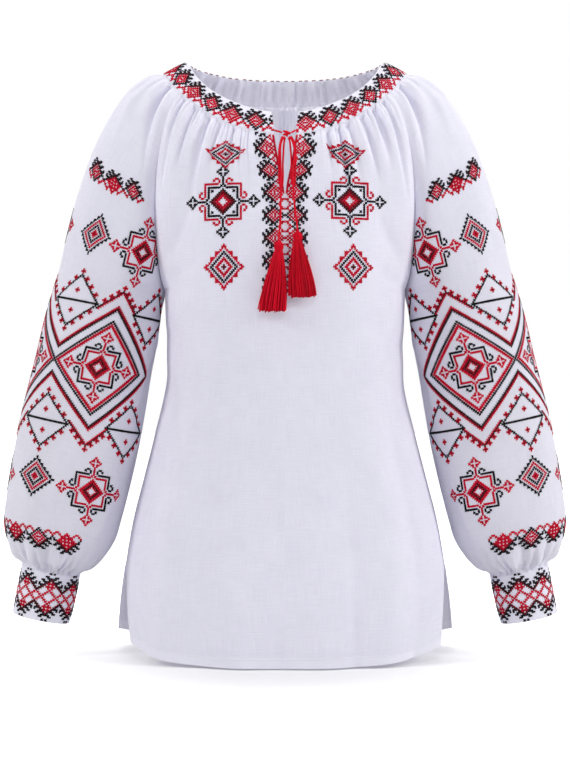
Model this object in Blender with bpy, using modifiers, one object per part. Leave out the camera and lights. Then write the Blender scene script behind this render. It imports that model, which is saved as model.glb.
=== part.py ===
"""A raglan vyshyvanka shirt, filled out as it is when worn, with nobody inside it.

Metres, +Z up, the front faces -Y. "right" and "left" are the wearer's own, so the right sleeve is at -X.
The origin lies midway between the shoulders, at the height of the neckband's seam there.
The cut: a front with a neck slit, a back, two raglan sleeves gathered into cuffs, and a neckband that
gathers all four. A cord ties the neck and ends in two tassels.
"""

import math

import bmesh
import bpy
import numpy as np
from mathutils import Matrix, Vector

# ---- driving dimensions ----
CLOTH = 0.0012            # wall of a single cloth
BAND_CLOTH = 0.0016       # wall of the neckband and the cuffs, two plies sewn together
SEAM_GAP = 0.0003         # between the edges of pieces that are sewn together
UNDERARM_GAP = 0.0026     # between the body's and the sleeve's cloth at the underarm point
RAGLAN_INSET = 0.0024     # the most that a raglan seam's edges are drawn in
NECK_SEAM_SHARE = 0.0018  # the cloth starts this share of its leaving tangent below the band
SEAM_ARRIVE = (0.040, 0.165, 0.080)  # a raglan seam's tangent at the underarm: inward, across, down

NECK_HALF_WIDTH = 0.1165  # top edge of the neckband
NECK_FRONT = 0.082
NECK_BACK = 0.068
NECK_SLIT_TOP = 0.0155    # half the opening at the band's top edge
NECK_SLIT_SEAM = 0.0125   # half the opening at the band's seam
FRONT_OUT = 0.019         # how far out the seam lies from the top edge, at the front centre
FRONT_SEAM_ANGLE = 58.0   # raglan seam on the neckband, degrees from the front centre
BACK_SEAM_ANGLE = 122.0

UNDERARM_HALF = 0.141     # underarm point, from the centre
UNDERARM_DEPTH = 0.115    # half depth of the body there, a mean of its front and back
UNDERARM_Z = -0.230
SLIT_TOP_Z = -0.553       # upper end of the side slits
SIDE_HEM_Z = -0.632       # the hem at the side edges
SLIT_DRAWN_IN = 0.016     # at the hem, the front's side edge lies this much nearer the centre
SLIT_FRONT = 0.030        # at the hem, the front's side edge lies this far forward
SLIT_BACK = 0.012         # at the hem, the back's side edge lies this far back
SIDE_CURVE = 0.9          # exponent of the torso's section: 1 is an ellipse, less is fuller

ARM_TILT = math.radians(11.5)
ARM_FORWARD = 0.05        # the sleeve's drift to the front for each metre down
ARM_TOP_WIDTH = 0.062     # half width of the sleeve at the underarm ring
CUFF_TOP = 0.3483         # along the arm, from the underarm ring
CUFF_LENGTH = 0.056
CUFF_HALF_WIDTH = 0.0335
CUFF_HALF_DEPTH = 0.0320
CUFF_TAPER = 0.001        # both half sizes shrink this much from the cuff's top to its end

# Neckband: height of the top edge, and how far its seam edge lies out and down from it.
NECK_RING = (
    # angle, top_z, out, fall
    (0.0, -0.0340, FRONT_OUT, 0.0260),
    (15.0, -0.0290, 0.0190, 0.0258),
    (30.0, -0.0190, 0.0200, 0.0245),
    (45.0, -0.0050, 0.0230, 0.0190),
    (60.0, 0.0130, 0.0255, 0.0160),
    (75.0, 0.0320, 0.0265, 0.0150),
    (90.0, 0.0375, 0.0265, 0.0140),
    (120.0, 0.0335, 0.0235, 0.0215),
    (150.0, 0.0280, 0.0160, 0.0270),
    (180.0, 0.0265, 0.0120, 0.0290),
)

# How the cloth leaves the neck seam, as metres of tangent.
LEAVE = (
    # angle, sideways, forward, down
    (0.0, 0.000, 0.050, 0.170),
    (30.0, 0.045, 0.075, 0.165),
    (58.0, 0.105, 0.085, 0.120),
    (90.0, 0.218, 0.010, 0.018),
    (122.0, 0.105, -0.070, 0.130),
    (150.0, 0.030, -0.060, 0.180),
    (180.0, 0.000, -0.045, 0.190),
)

# Torso sections from the underarm down.
TORSO = (
    # z, half_width, front, back
    (-0.230, 0.1410, 0.1220, 0.1060),
    (-0.277, 0.1395, 0.1210, 0.1040),
    (-0.313, 0.1390, 0.1205, 0.1030),
    (-0.360, 0.1440, 0.1215, 0.1040),
    (-0.407, 0.1550, 0.1240, 0.1070),
    (-0.454, 0.1670, 0.1275, 0.1110),
    (-0.501, 0.1790, 0.1315, 0.1160),
    (-0.549, 0.1875, 0.1355, 0.1210),
    (-0.596, 0.1945, 0.1385, 0.1250),
    (-0.660, 0.2000, 0.1410, 0.1280),
)

# Hem height across a panel, from its middle (0) to its side edge (1).
HEM = (
    # across, front_z, back_z
    (0.00, -0.6555, -0.6530),
    (0.35, -0.6545, -0.6520),
    (0.60, -0.6490, -0.6470),
    (0.75, -0.6420, -0.6410),
    (0.88, -0.6340, -0.6350),
    (1.00, -0.6190, -0.6310),
)

# Sleeve sections along the arm, down from the underarm ring.
SLEEVE = (
    # along, half_width, half_depth
    (0.000, 0.0620, 0.0640),
    (0.060, 0.0670, 0.0625),
    (0.100, 0.0678, 0.0620),
    (0.145, 0.0697, 0.0615),
    (0.193, 0.0710, 0.0615),
    (0.241, 0.0698, 0.0612),
    (0.275, 0.0680, 0.0602),
    (0.300, 0.0655, 0.0585),
    (0.316, 0.0600, 0.0545),
    (0.329, 0.0530, 0.0485),
    (0.3385, 0.0450, 0.0415),
    (0.3445, 0.0355, 0.0338),
    (0.3478, 0.0335, 0.0320),
)

# Half width of the neck slit down the front, as a share of the yoke's length there.
NECK_SLIT = (
    # down, half_width
    (0.00, 0.0125),
    (0.12, 0.0100),
    (0.28, 0.0058),
    (0.42, 0.0018),
    (0.50, 0.0000),
)

# The largest gathers, as ridges. "at" is the place on the gathered edge: -1 to 1 across a body panel,
# and 0 to 1 round a sleeve from its front seam. "reach" is how far the ridge runs from that edge.
FRONT_FOLDS = (
    # at, width, depth, reach
    (-0.93, 0.050, 0.0034, 0.085),
    (-0.81, 0.045, 0.0042, 0.120),
    (-0.69, 0.042, 0.0036, 0.085),
    (-0.57, 0.045, 0.0044, 0.130),
    (-0.45, 0.042, 0.0034, 0.075),
    (-0.34, 0.042, 0.0040, 0.100),
    (-0.23, 0.040, 0.0030, 0.065),
    (0.24, 0.040, 0.0032, 0.070),
    (0.35, 0.042, 0.0038, 0.085),
    (0.46, 0.044, 0.0044, 0.125),
    (0.58, 0.042, 0.0034, 0.080),
    (0.70, 0.046, 0.0042, 0.115),
    (0.82, 0.044, 0.0036, 0.090),
    (0.93, 0.050, 0.0034, 0.100),
)
BACK_FOLDS = (
    # at, width, depth, reach
    (-0.88, 0.065, 0.0036, 0.090),
    (-0.70, 0.060, 0.0040, 0.115),
    (-0.52, 0.062, 0.0034, 0.080),
    (-0.35, 0.058, 0.0042, 0.130),
    (-0.17, 0.060, 0.0032, 0.090),
    (0.01, 0.062, 0.0038, 0.110),
    (0.19, 0.058, 0.0032, 0.075),
    (0.36, 0.060, 0.0042, 0.125),
    (0.54, 0.062, 0.0036, 0.095),
    (0.71, 0.058, 0.0038, 0.105),
    (0.88, 0.065, 0.0034, 0.085),
)
CAP_FOLDS = (
    # at, width, depth, reach
    (0.07, 0.032, 0.0034, 0.110),
    (0.19, 0.036, 0.0042, 0.090),
    (0.31, 0.034, 0.0038, 0.130),
    (0.43, 0.036, 0.0034, 0.080),
    (0.55, 0.034, 0.0042, 0.105),
    (0.67, 0.036, 0.0036, 0.085),
    (0.80, 0.034, 0.0040, 0.120),
    (0.92, 0.032, 0.0034, 0.090),
)
CUFF_FOLDS = (
    # at, width, depth, reach
    (0.04, 0.028, 0.0030, 0.048),
    (0.13, 0.026, 0.0036, 0.036),
    (0.22, 0.030, 0.0032, 0.056),
    (0.32, 0.026, 0.0040, 0.040),
    (0.41, 0.028, 0.0032, 0.060),
    (0.50, 0.026, 0.0036, 0.038),
    (0.60, 0.030, 0.0040, 0.052),
    (0.69, 0.026, 0.0032, 0.042),
    (0.78, 0.028, 0.0036, 0.058),
    (0.88, 0.026, 0.0034, 0.038),
    (0.96, 0.028, 0.0030, 0.046),
)
FOLD_RISE = 0.016         # a ridge reaches its full depth this far from the gathered edge

YOKE_ROWS = (0.0, 0.05, 0.12, 0.20, 0.30, 0.40, 0.50, 0.62, 0.75, 0.88, 1.0)
BODY_ROWS = (-0.285, -0.345, -0.405, -0.460, -0.510, -0.553)
HEM_ROWS = (0.34, 0.68, 1.0)        # down the side slit
FRONT_COLUMNS = 24                  # each half
BACK_COLUMNS = 33
CAP_ROWS = (0.0, 0.05, 0.12, 0.21, 0.32, 0.45, 0.60, 0.75, 0.88, 1.0)
ARM_ROWS = (0.035, 0.078, 0.125, 0.170, 0.215, 0.255, 0.285, 0.304, 0.319, 0.331, 0.340, 0.3474)
ARM_COLUMNS = 32
BAND_COLUMNS = 56
CUFF_COLUMNS = 26

CORD_RADIUS = 0.0011
KNOT_CENTRE = (0.0020, -0.1030, -0.0590)
KNOT_SIZE = (0.0046, 0.0036, 0.0038)        # half sizes
# The tie runs from each band end to the knot. A loop and a tail hang from the knot on each side.
TIE_RIGHT = (
    # x, y, z
    (-0.0031, -0.1026, -0.0580),
    (-0.0076, -0.1014, -0.0563),
    (-0.0120, -0.0990, -0.0547),
)
TIE_LEFT = (
    # x, y, z
    (0.0071, -0.1026, -0.0579),
    (0.0098, -0.1014, -0.0563),
    (0.0121, -0.0992, -0.0548),
)
LOOP_RIGHT = (
    # x, y, z
    (0.0002, -0.1036, -0.0634),
    (-0.0009, -0.1052, -0.0690),
    (-0.0018, -0.1082, -0.0800),
    (-0.0023, -0.1116, -0.0920),
    (-0.0023, -0.1146, -0.1040),
    (-0.0024, -0.1167, -0.1135),
    (-0.0029, -0.1172, -0.1190),
    (-0.0043, -0.1173, -0.1208),
    (-0.0057, -0.1172, -0.1190),
    (-0.0062, -0.1165, -0.1135),
    (-0.0066, -0.1143, -0.1040),
    (-0.0069, -0.1118, -0.0920),
    (-0.0067, -0.1086, -0.0800),
    (-0.0056, -0.1054, -0.0700),
    (-0.0028, -0.1031, -0.0617),
)
LOOP_LEFT = (
    # x, y, z
    (0.0038, -0.1036, -0.0634),
    (0.0054, -0.1052, -0.0690),
    (0.0066, -0.1082, -0.0800),
    (0.0070, -0.1117, -0.0920),
    (0.0071, -0.1146, -0.1040),
    (0.0073, -0.1167, -0.1120),
    (0.0078, -0.1172, -0.1170),
    (0.0092, -0.1173, -0.1188),
    (0.0106, -0.1172, -0.1170),
    (0.0111, -0.1163, -0.1120),
    (0.0115, -0.1145, -0.1040),
    (0.0119, -0.1119, -0.0920),
    (0.0120, -0.1089, -0.0800),
    (0.0106, -0.1060, -0.0700),
    (0.0068, -0.1031, -0.0617),
)
TAIL_RIGHT = (
    # x, y, z
    (-0.0006, -0.1066, -0.0626),
    (-0.0034, -0.1082, -0.0675),
    (-0.0052, -0.1098, -0.0760),
    (-0.0052, -0.1122, -0.0860),
    (-0.0047, -0.1150, -0.0960),
    (-0.0044, -0.1177, -0.1070),
    (-0.0045, -0.1204, -0.1190),
    (-0.0046, -0.1207, -0.1270),
    (-0.0047, -0.1208, -0.1370),
    (-0.0049, -0.1213, -0.1500),
    (-0.0056, -0.1228, -0.1630),
    (-0.0064, -0.1252, -0.1730),
    (-0.0068, -0.1277, -0.1814),
)
TAIL_LEFT = (
    # x, y, z
    (0.0046, -0.1066, -0.0626),
    (0.0078, -0.1082, -0.0675),
    (0.0104, -0.1100, -0.0760),
    (0.0105, -0.1126, -0.0860),
    (0.0095, -0.1152, -0.0960),
    (0.0091, -0.1179, -0.1070),
    (0.0092, -0.1204, -0.1180),
    (0.0094, -0.1207, -0.1260),
    (0.0102, -0.1208, -0.1370),
    (0.0116, -0.1216, -0.1490),
    (0.0130, -0.1238, -0.1600),
    (0.0139, -0.1270, -0.1701),
)

TASSEL_HEAD = (
    # down, radius: the bound head, turned
    (0.0000, 0.0000),
    (0.0003, 0.0016),
    (0.0022, 0.0040),
    (0.0055, 0.0053),
    (0.0085, 0.0050),
    (0.0098, 0.0043),
    (0.0108, 0.0049),
    (0.0116, 0.0049),
    (0.0116, 0.0000),
)
TASSEL_SIDES = 14
# The rings of strands, from the head's underside to the skirt's end.
STRANDS = (
    # count, root_ring, end_half_width, end_half_depth, root_radius, end_radius
    (18, 0.0041, 0.0152, 0.0066, 0.00056, 0.00165),
    (7, 0.0018, 0.0085, 0.0016, 0.00056, 0.00150),
)
TASSEL_RIGHT = {"top": (-0.0069, -0.1285, -0.1820), "end": (-0.0139, -0.1316, -0.2595)}
TASSEL_LEFT = {"top": (0.0140, -0.1280, -0.1707), "end": (0.0194, -0.1315, -0.2440)}


def smooth(at, places, values):
    """A smooth curve through the table's values, read at "at"."""
    places = np.asarray(places, float)
    values = np.asarray(values, float)
    at = np.clip(np.asarray(at, float), places[0], places[-1])
    slopes = np.gradient(values, places)
    k = np.clip(np.searchsorted(places, at, side="right") - 1, 0, len(places) - 2)
    span = places[k + 1] - places[k]
    t = (at - places[k]) / span
    return (values[k] * (1 + 2 * t) * (1 - t) ** 2 + values[k + 1] * t * t * (3 - 2 * t)
            + span * slopes[k] * t * (1 - t) ** 2 - span * slopes[k + 1] * t * t * (1 - t))


def read(table, column, at):
    """The named table's column, by its first column."""
    rows = np.array(sorted(table))
    return smooth(at, rows[:, 0], rows[:, column])


def ease(at, start, end):
    """0 before start, 1 after end, and a soft step between."""
    t = np.clip((np.asarray(at, float) - start) / (end - start), 0.0, 1.0)
    return t * t * (3 - 2 * t)


def vectors(x, y, z):
    """Stack three coordinate arrays as points."""
    return np.stack(np.broadcast_arrays(x, y, z), axis=-1).astype(float)


def hermite(start, leave, end, arrive, t):
    """Cubic from start to end, with its tangents there; t is 0 to 1."""
    t = np.asarray(t, float)[..., None]
    return ((1 + 2 * t) * (1 - t) ** 2 * start + t * (1 - t) ** 2 * leave
            + t * t * (3 - 2 * t) * end - t * t * (1 - t) * arrive)


# ---- the neck ----
def neck_point(angle, down):
    """A point of the neckband: angle in degrees from the front centre, down 0 at its top and 1 at its seam."""
    turn = np.radians(angle)
    side = np.abs(angle)
    reach = np.where(np.cos(turn) > 0, NECK_FRONT, NECK_BACK)
    out = read(NECK_RING, 2, side) * down
    x = (NECK_HALF_WIDTH + out) * np.sin(turn)
    y = -(reach + out) * np.cos(turn)
    return vectors(x, y, read(NECK_RING, 1, side) - read(NECK_RING, 3, side) * down)


def leave_neck(angle):
    """The tangent of the cloth below the neck seam."""
    side = np.abs(angle)
    sign = np.sign(angle)
    return vectors(sign * read(LEAVE, 1, side), -read(LEAVE, 2, side), -read(LEAVE, 3, side))


def opening_angle(down):
    """The angle from the front centre to the opening's edge; down is 0 at the band's top, 1 at its seam."""
    half_open = NECK_SLIT_TOP + (NECK_SLIT_SEAM - NECK_SLIT_TOP) * down
    return math.degrees(math.asin(half_open / (NECK_HALF_WIDTH + FRONT_OUT * down)))


# ---- the body ----
def even_turns(half_width, depth, count=400):
    """For shares of the arc from the side (-1) to the other side (1), the section's angle there."""
    turns = np.linspace(-math.pi / 2, math.pi / 2, count)
    x = half_width * np.sign(np.sin(turns)) * np.abs(np.sin(turns)) ** SIDE_CURVE
    y = depth * np.clip(np.cos(turns), 0, 1) ** SIDE_CURVE
    steps = np.hypot(np.diff(x), np.diff(y))
    length = np.concatenate([[0.0], np.cumsum(steps)])
    return 2 * length / length[-1] - 1, turns


def torso_point(across, z, facing):
    """A point of the body at height z; facing is -1 on the front and 1 on the back."""
    shares, turns = even_turns(UNDERARM_HALF, UNDERARM_DEPTH)
    turn = np.interp(across, shares, turns)
    slit = np.clip((SLIT_TOP_Z - z) / (SLIT_TOP_Z - SIDE_HEM_Z), 0.0, None)
    drawn_in = slit * (SLIT_DRAWN_IN if facing < 0 else 0.0)
    edge_y = slit * (-SLIT_FRONT if facing < 0 else SLIT_BACK)
    half = read(TORSO, 1, z) - drawn_in
    depth = read(TORSO, 2 if facing < 0 else 3, z) - np.abs(edge_y)
    x = half * np.sign(np.sin(turn)) * np.abs(np.sin(turn)) ** SIDE_CURVE
    y = edge_y + facing * depth * np.clip(np.cos(turn), 0, 1) ** SIDE_CURVE
    return vectors(x, y, z)


def seam_share(across, width):
    """1 on a raglan seam, falling to 0 away from it."""
    return 1 - ease(1 - np.abs(across), 0.0, width)


def yoke_columns(angles, ends, arrive, share, facing, down):
    """Columns of cloth from the neck seam to the underarm ring; down runs 0 to 1."""
    start = neck_point(angles, 1.0) + leave_neck(angles) * NECK_SEAM_SHARE
    inward, across, fall = SEAM_ARRIVE
    seam_arrive = vectors(-np.sign(angles) * inward, -facing * across, -fall)
    arrive = arrive + (seam_arrive - arrive) * share[..., None]
    return hermite(start, leave_neck(angles), ends, arrive, down)


def body_grid(across, yoke_rows, body_rows, hem_rows, facing):
    """The grid of a body panel, rows from the neck seam to the hem."""
    if facing < 0:
        slit_angle = opening_angle(1.0)
        side = np.where(np.abs(across) < 1e-9, 0.0, np.abs(across))
        angles = np.sign(across) * (slit_angle + (FRONT_SEAM_ANGLE - slit_angle) * side)
    else:
        angles = np.sign(across + 1e-12) * (180.0 - (180.0 - BACK_SEAM_ANGLE) * np.abs(across))
    ends = torso_point(across, UNDERARM_Z, facing)
    rows = []
    share = seam_share(across, 0.42)
    for down in yoke_rows:
        arrive = vectors(0.0 * across, 0.0, -0.170)
        row = yoke_columns(angles, ends, arrive, share, facing, np.full(across.shape, down))
        if facing < 0:
            row[:, 0] += slit_shift(across, row[:, 0], down)
        rows.append(row)
    for z in body_rows:
        rows.append(torso_point(across, np.full(across.shape, z), facing))
    hem = read(HEM, 1 if facing < 0 else 2, np.abs(across))
    for share_down in hem_rows:
        z = SLIT_TOP_Z + (hem - SLIT_TOP_Z) * share_down
        rows.append(torso_point(across, z, facing))
    return np.array(rows)


def slit_shift(across, x, down):
    """Draws the front's middle columns to the neck slit's edge, and closes them below it."""
    edge = read(NECK_SLIT, 1, down)
    own = np.abs(x[np.argmin(np.abs(across))])
    return np.sign(across) * (edge - own) * (1 - np.abs(across)) ** 3


# ---- the sleeves ----
def arm_ring(along, turn):
    """A point of the right sleeve or cuff: along the arm, turn 0 at the body, 90 front, 180 outside."""
    half = read(SLEEVE, 1, along)
    depth = read(SLEEVE, 2, along)
    return arm_point(along, turn, half, depth)


def arm_point(along, turn, half, depth):
    """A point round the right arm's axis, from the section's half sizes."""
    angle = np.radians(turn)
    inward = half * np.cos(angle)
    centre_x = -UNDERARM_HALF - UNDERARM_GAP - ARM_TOP_WIDTH * math.cos(ARM_TILT)
    centre_z = UNDERARM_Z + ARM_TOP_WIDTH * math.sin(ARM_TILT)
    x = centre_x - along * math.sin(ARM_TILT) + inward * math.cos(ARM_TILT)
    z = centre_z - along * math.cos(ARM_TILT) - inward * math.sin(ARM_TILT)
    y = -ARM_FORWARD * along - depth * np.sin(angle)
    return vectors(x, y, z)


def sleeve_grid(around, cap_rows, arm_rows):
    """The right sleeve: around runs 0 to 1 from the front seam over the shoulder to the back seam."""
    angles = -(FRONT_SEAM_ANGLE + (BACK_SEAM_ANGLE - FRONT_SEAM_ANGLE) * around)
    turns = 360.0 * around
    ends = arm_ring(np.zeros_like(around), turns)
    facing = np.where(around < 0.5, -1.0, 1.0)
    across = np.where(around < 0.5, 1 - 2 * around, 2 * around - 1)
    share = seam_share(across, 0.60)
    apart = vectors(-UNDERARM_GAP, 0.0, 0.0) * share[:, None]
    lean = vectors(-math.sin(ARM_TILT), -ARM_FORWARD, -math.cos(ARM_TILT))
    reach = 0.170 + 0.050 * np.sin(np.pi * around)
    rows = []
    for down in cap_rows:
        arrive = lean * reach[:, None]
        row = yoke_columns(angles, ends - apart, arrive, share, facing, np.full(around.shape, down))
        rows.append(row + apart * ease(down, 0.30, 0.85))
    for along in arm_rows:
        rows.append(arm_ring(np.full(around.shape, along), turns))
    return np.array(rows)


# ---- gathers and seams ----
def grid_normals(grid, closed_rows=0):
    """Unit normals of a grid; the last closed_rows rows meet round the arm."""
    down = np.gradient(grid, axis=0)
    over = np.gradient(grid, axis=1)
    if closed_rows:
        joint = (grid[-closed_rows:, 1] - grid[-closed_rows:, -2]) / 2
        over[-closed_rows:, 0] = joint
        over[-closed_rows:, -1] = joint
    normal = np.cross(down, over)
    return normal / np.maximum(np.linalg.norm(normal, axis=-1, keepdims=True), 1e-12)


def from_edge(grid, last=False):
    """The distance of each point from the grid's first row, or from its last."""
    rows = grid[::-1] if last else grid
    steps = np.linalg.norm(np.diff(rows, axis=0), axis=-1)
    lengths = np.concatenate([np.zeros((1, grid.shape[1])), np.cumsum(steps, axis=0)])
    return lengths[::-1] if last else lengths


def ridges(across, distance, folds, period=None):
    """The height of the gathers, for a place across the edge and a distance from it."""
    height = np.zeros_like(distance)
    for at, width, depth, reach in folds:
        off = across - at
        if period:
            off = (off + period / 2) % period - period / 2
        fade = ease(distance, 0.0, FOLD_RISE) * (1 - ease(distance, reach * 0.25, reach))
        height += depth * np.exp(-((off / width) ** 2)) * fade
    return height


def draw_in(grid, inset_first, inset_last):
    """Moves the two edge columns into their own cloth, which opens the seams."""
    grid = grid.copy()
    for edge, inner, inset in ((0, 1, inset_first), (-1, -2, inset_last)):
        way = grid[:, inner] - grid[:, edge]
        way /= np.maximum(np.linalg.norm(way, axis=-1, keepdims=True), 1e-9)
        grid[:, edge] += way * np.asarray(inset)[:, None]
    return grid


def raglan_insets(downs, facing):
    """How far both edges of a raglan seam are drawn in, so that walls meeting at an angle stay apart."""
    body = body_grid(np.array([-1.0, -0.96]), downs, (), (), facing)
    around = np.array([0.0, 0.03]) if facing < 0 else np.array([1.0, 0.97])
    sleeve = sleeve_grid(around, downs, ())
    ways = []
    for grid in (body, sleeve):
        way = grid[:, 1] - grid[:, 0]
        ways.append(way / np.linalg.norm(way, axis=-1, keepdims=True))
    half_angle = np.arccos(np.clip(np.sum(ways[0] * ways[1], axis=-1), -1, 1)) / 2
    needed = CLOTH / 2 / np.tan(np.maximum(half_angle, 0.2)) + SEAM_GAP * 0.75
    shrinks = 1 - 0.8 * ease(downs, 0.80, 1.0)
    return np.minimum(needed, RAGLAN_INSET) * shrinks


def body_insets(yoke_rows, body_rows, hem_rows, facing):
    """How far a body panel's side edge is drawn in, row by row."""
    side = np.full(len(body_rows) + len(hem_rows), SEAM_GAP * 0.7)
    return np.concatenate([raglan_insets(yoke_rows, facing), side])


def front_grids(columns, yoke_rows, body_rows, hem_rows):
    """The front's two halves, right then left, which meet below the neck slit."""
    halves = []
    insets = body_insets(yoke_rows, body_rows, hem_rows, -1)
    none = np.zeros(len(insets))
    for sign in (-1, 1):
        across = np.linspace(-1.0, -1e-7, columns + 1)
        grid = body_grid(across, yoke_rows, body_rows, hem_rows, -1)
        if sign > 0:
            grid = (grid * (-1, 1, 1))[:, ::-1]
            across = -across[::-1]
        height = ridges(across[None, :], from_edge(grid), FRONT_FOLDS)
        grid = grid + grid_normals(grid) * height[..., None]
        below = len([row for row in yoke_rows if row < 0.5])
        centre = -1 if sign < 0 else 0
        grid[below:, centre, 0] = 0.0
        insets_by_edge = (insets, none) if sign < 0 else (none, insets)
        halves.append(draw_in(grid, *insets_by_edge))
    return halves


def back_grid(columns, yoke_rows, body_rows, hem_rows):
    """The back, from the wearer's left to right, so that it faces out."""
    across = np.linspace(-1.0, 1.0, columns + 1)
    grid = body_grid(across, yoke_rows, body_rows, hem_rows, 1)
    height = ridges(across[None, :], from_edge(grid), BACK_FOLDS)
    grid = (grid - grid_normals(grid) * height[..., None])[:, ::-1]
    insets = body_insets(yoke_rows, body_rows, hem_rows, 1)
    return draw_in(grid, insets, insets)


def sleeve_side(sign, columns, cap_rows, arm_rows):
    """The sleeve's grid with its gathers: sign is -1 for the right one, 1 for the left."""
    around = np.linspace(0.0, 1.0, columns + 1)
    grid = sleeve_grid(around, cap_rows, arm_rows)
    closed = len(arm_rows) + 1
    cap = ridges(around[None, :], from_edge(grid), CAP_FOLDS)
    cuff = ridges(around[None, :], from_edge(grid, last=True), CUFF_FOLDS, period=1.0)
    grid = grid - grid_normals(grid, closed) * (cap + cuff)[..., None]
    insets = []
    for facing in (-1, 1):
        inset = raglan_insets(cap_rows, facing)
        inset[-1] = 0.0
        insets.append(np.concatenate([inset, np.zeros(len(arm_rows))]))
    grid = draw_in(grid, *insets)
    grid[-closed:, -1] = grid[-closed:, 0]
    return (grid * (-1, 1, 1))[:, ::-1] if sign > 0 else grid


# ---- Blender objects ----
def clear_scene():
    """Starts from an empty scene."""
    for thing in list(bpy.data.objects):
        bpy.data.objects.remove(thing, do_unlink=True)


def material(name, colour, roughness):
    """A plain dielectric surface."""
    made = bpy.data.materials.new(name)
    made.use_nodes = True
    shader = made.node_tree.nodes["Principled BSDF"]
    shader.inputs["Base Color"].default_value = (*colour, 1.0)
    shader.inputs["Roughness"].default_value = roughness
    shader.inputs["Metallic"].default_value = 0.0
    return made


def add_object(name, mesh, surface, group):
    """Puts a mesh in the scene with its material."""
    made = bpy.data.objects.new(name, mesh)
    mesh.materials.append(surface)
    group.objects.link(made)
    return made


def cloth(name, grids, thickness, surface, group):
    """One wall of cloth through one or more grids, which are welded where their points coincide."""
    shell = bmesh.new()
    for grid in grids:
        points = [[shell.verts.new(point) for point in row] for row in grid]
        for upper, lower in zip(points, points[1:]):
            for k in range(len(upper) - 1):
                shell.faces.new((upper[k], lower[k], lower[k + 1], upper[k + 1]))
    bmesh.ops.remove_doubles(shell, verts=shell.verts, dist=0.00001)
    for face in shell.faces:
        face.smooth = True
    mesh = bpy.data.meshes.new(name)
    shell.to_mesh(mesh)
    shell.free()
    made = add_object(name, mesh, surface, group)
    wall = made.modifiers.new("wall", "SOLIDIFY")
    wall.thickness = thickness
    wall.offset = 0.0
    wall.use_even_offset = True
    return made


def neckband(surface, group):
    """The band round the neck, open at the slit."""
    rows = []
    for down in (0.0, 0.5, 1.0):
        first = opening_angle(down)
        angles = np.linspace(first, 360.0 - first, BAND_COLUMNS + 1)
        angles = np.where(angles > 180.0, angles - 360.0, angles)
        rows.append(neck_point(angles, down))
    return cloth("neckband", [np.array(rows)], BAND_CLOTH, surface, group)


def cuff(sign, name, surface, group):
    """A closed cuff round the wrist."""
    turns = np.linspace(0.0, 360.0, CUFF_COLUMNS + 1)
    rows = []
    for share in (0.0, 0.5, 1.0):
        along = CUFF_TOP + CUFF_LENGTH * share
        taper = CUFF_TAPER * share
        rows.append(arm_point(along, turns, CUFF_HALF_WIDTH - taper, CUFF_HALF_DEPTH - taper))
    grid = np.array(rows)
    if sign > 0:
        grid = (grid * (-1, 1, 1))[:, ::-1]
    return cloth(name, [grid], BAND_CLOTH, surface, group)


def through(route, between=2):
    """Points along a smooth curve through the route's own points."""
    places = np.arange(len(route))
    reads = np.linspace(0, len(route) - 1, (len(route) - 1) * between + 1)
    columns = [smooth(reads, places, [point[axis] for point in route]) for axis in range(3)]
    return np.stack(columns, axis=-1)


def cord(name, route, surface, group):
    """A round cord along its route."""
    points = through(route)
    curve = bpy.data.curves.new(name, "CURVE")
    curve.dimensions = "3D"
    curve.bevel_depth = CORD_RADIUS
    curve.bevel_resolution = 2
    curve.use_fill_caps = True
    spline = curve.splines.new("POLY")
    spline.points.add(len(points) - 1)
    for place, point in zip(spline.points, points):
        place.co = (*point, 1.0)
    return add_object(name, curve, surface, group)


def knot(surface, group):
    """The knot that holds the loops and the tails."""
    ball = bmesh.new()
    bmesh.ops.create_uvsphere(ball, u_segments=14, v_segments=9, radius=1.0)
    bmesh.ops.scale(ball, vec=KNOT_SIZE, verts=ball.verts)
    for face in ball.faces:
        face.smooth = True
    mesh = bpy.data.meshes.new("knot")
    ball.to_mesh(mesh)
    ball.free()
    made = add_object("knot", mesh, surface, group)
    made.location = KNOT_CENTRE
    return made


def turned(name, profile, sides):
    """A solid turned from a table of depths and radii, hanging down from its own origin."""
    mesh = bpy.data.meshes.new(name)
    points = [(radius, 0.0, -down) for down, radius in profile]
    mesh.from_pydata(points, [(k, k + 1) for k in range(len(points) - 1)], [])
    made = bpy.data.objects.new(name, mesh)
    screw = made.modifiers.new("turn", "SCREW")
    screw.steps = sides
    screw.render_steps = sides
    screw.use_merge_vertices = True
    screw.merge_threshold = 0.00001
    return made


def even_ring(half_width, half_depth, count):
    """Points spaced evenly round an ellipse."""
    turns = np.linspace(0, 2 * math.pi, 721)
    x = half_width * np.cos(turns)
    y = half_depth * np.sin(turns)
    length = np.concatenate([[0.0], np.cumsum(np.hypot(np.diff(x), np.diff(y)))])
    at = np.interp(np.arange(count) * length[-1] / count, length, turns)
    return np.stack([half_width * np.cos(at), half_depth * np.sin(at)], axis=-1)


def strands(name, top, end):
    """All the strands of a tassel in one mesh: four-sided locks that widen to their ends."""
    locks = bmesh.new()
    sunk = TASSEL_HEAD[-1][0] - 0.0022
    fall = Vector(end) - Vector(top)
    for count, root_ring, end_width, end_depth, root_radius, end_radius in STRANDS:
        roots = even_ring(root_ring, root_ring, count)
        ends = even_ring(end_width, end_depth, count)
        for k in range(count):
            root = Vector((roots[k][0], roots[k][1], -sunk))
            ragged = 0.0016 * math.sin(2.4 * k + count)
            tip = Vector((ends[k][0], ends[k][1], ragged)) + fall
            way = root - tip
            made = bmesh.ops.create_cone(locks, cap_ends=True, segments=4, radius1=end_radius,
                                         radius2=root_radius, depth=way.length)
            turn = way.to_track_quat("Z", "Y").to_matrix().to_4x4()
            place = Matrix.Translation((root + tip) / 2)
            bmesh.ops.transform(locks, matrix=place @ turn, verts=made["verts"])
    mesh = bpy.data.meshes.new(name)
    locks.to_mesh(mesh)
    locks.free()
    return bpy.data.objects.new(name, mesh)


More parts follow.
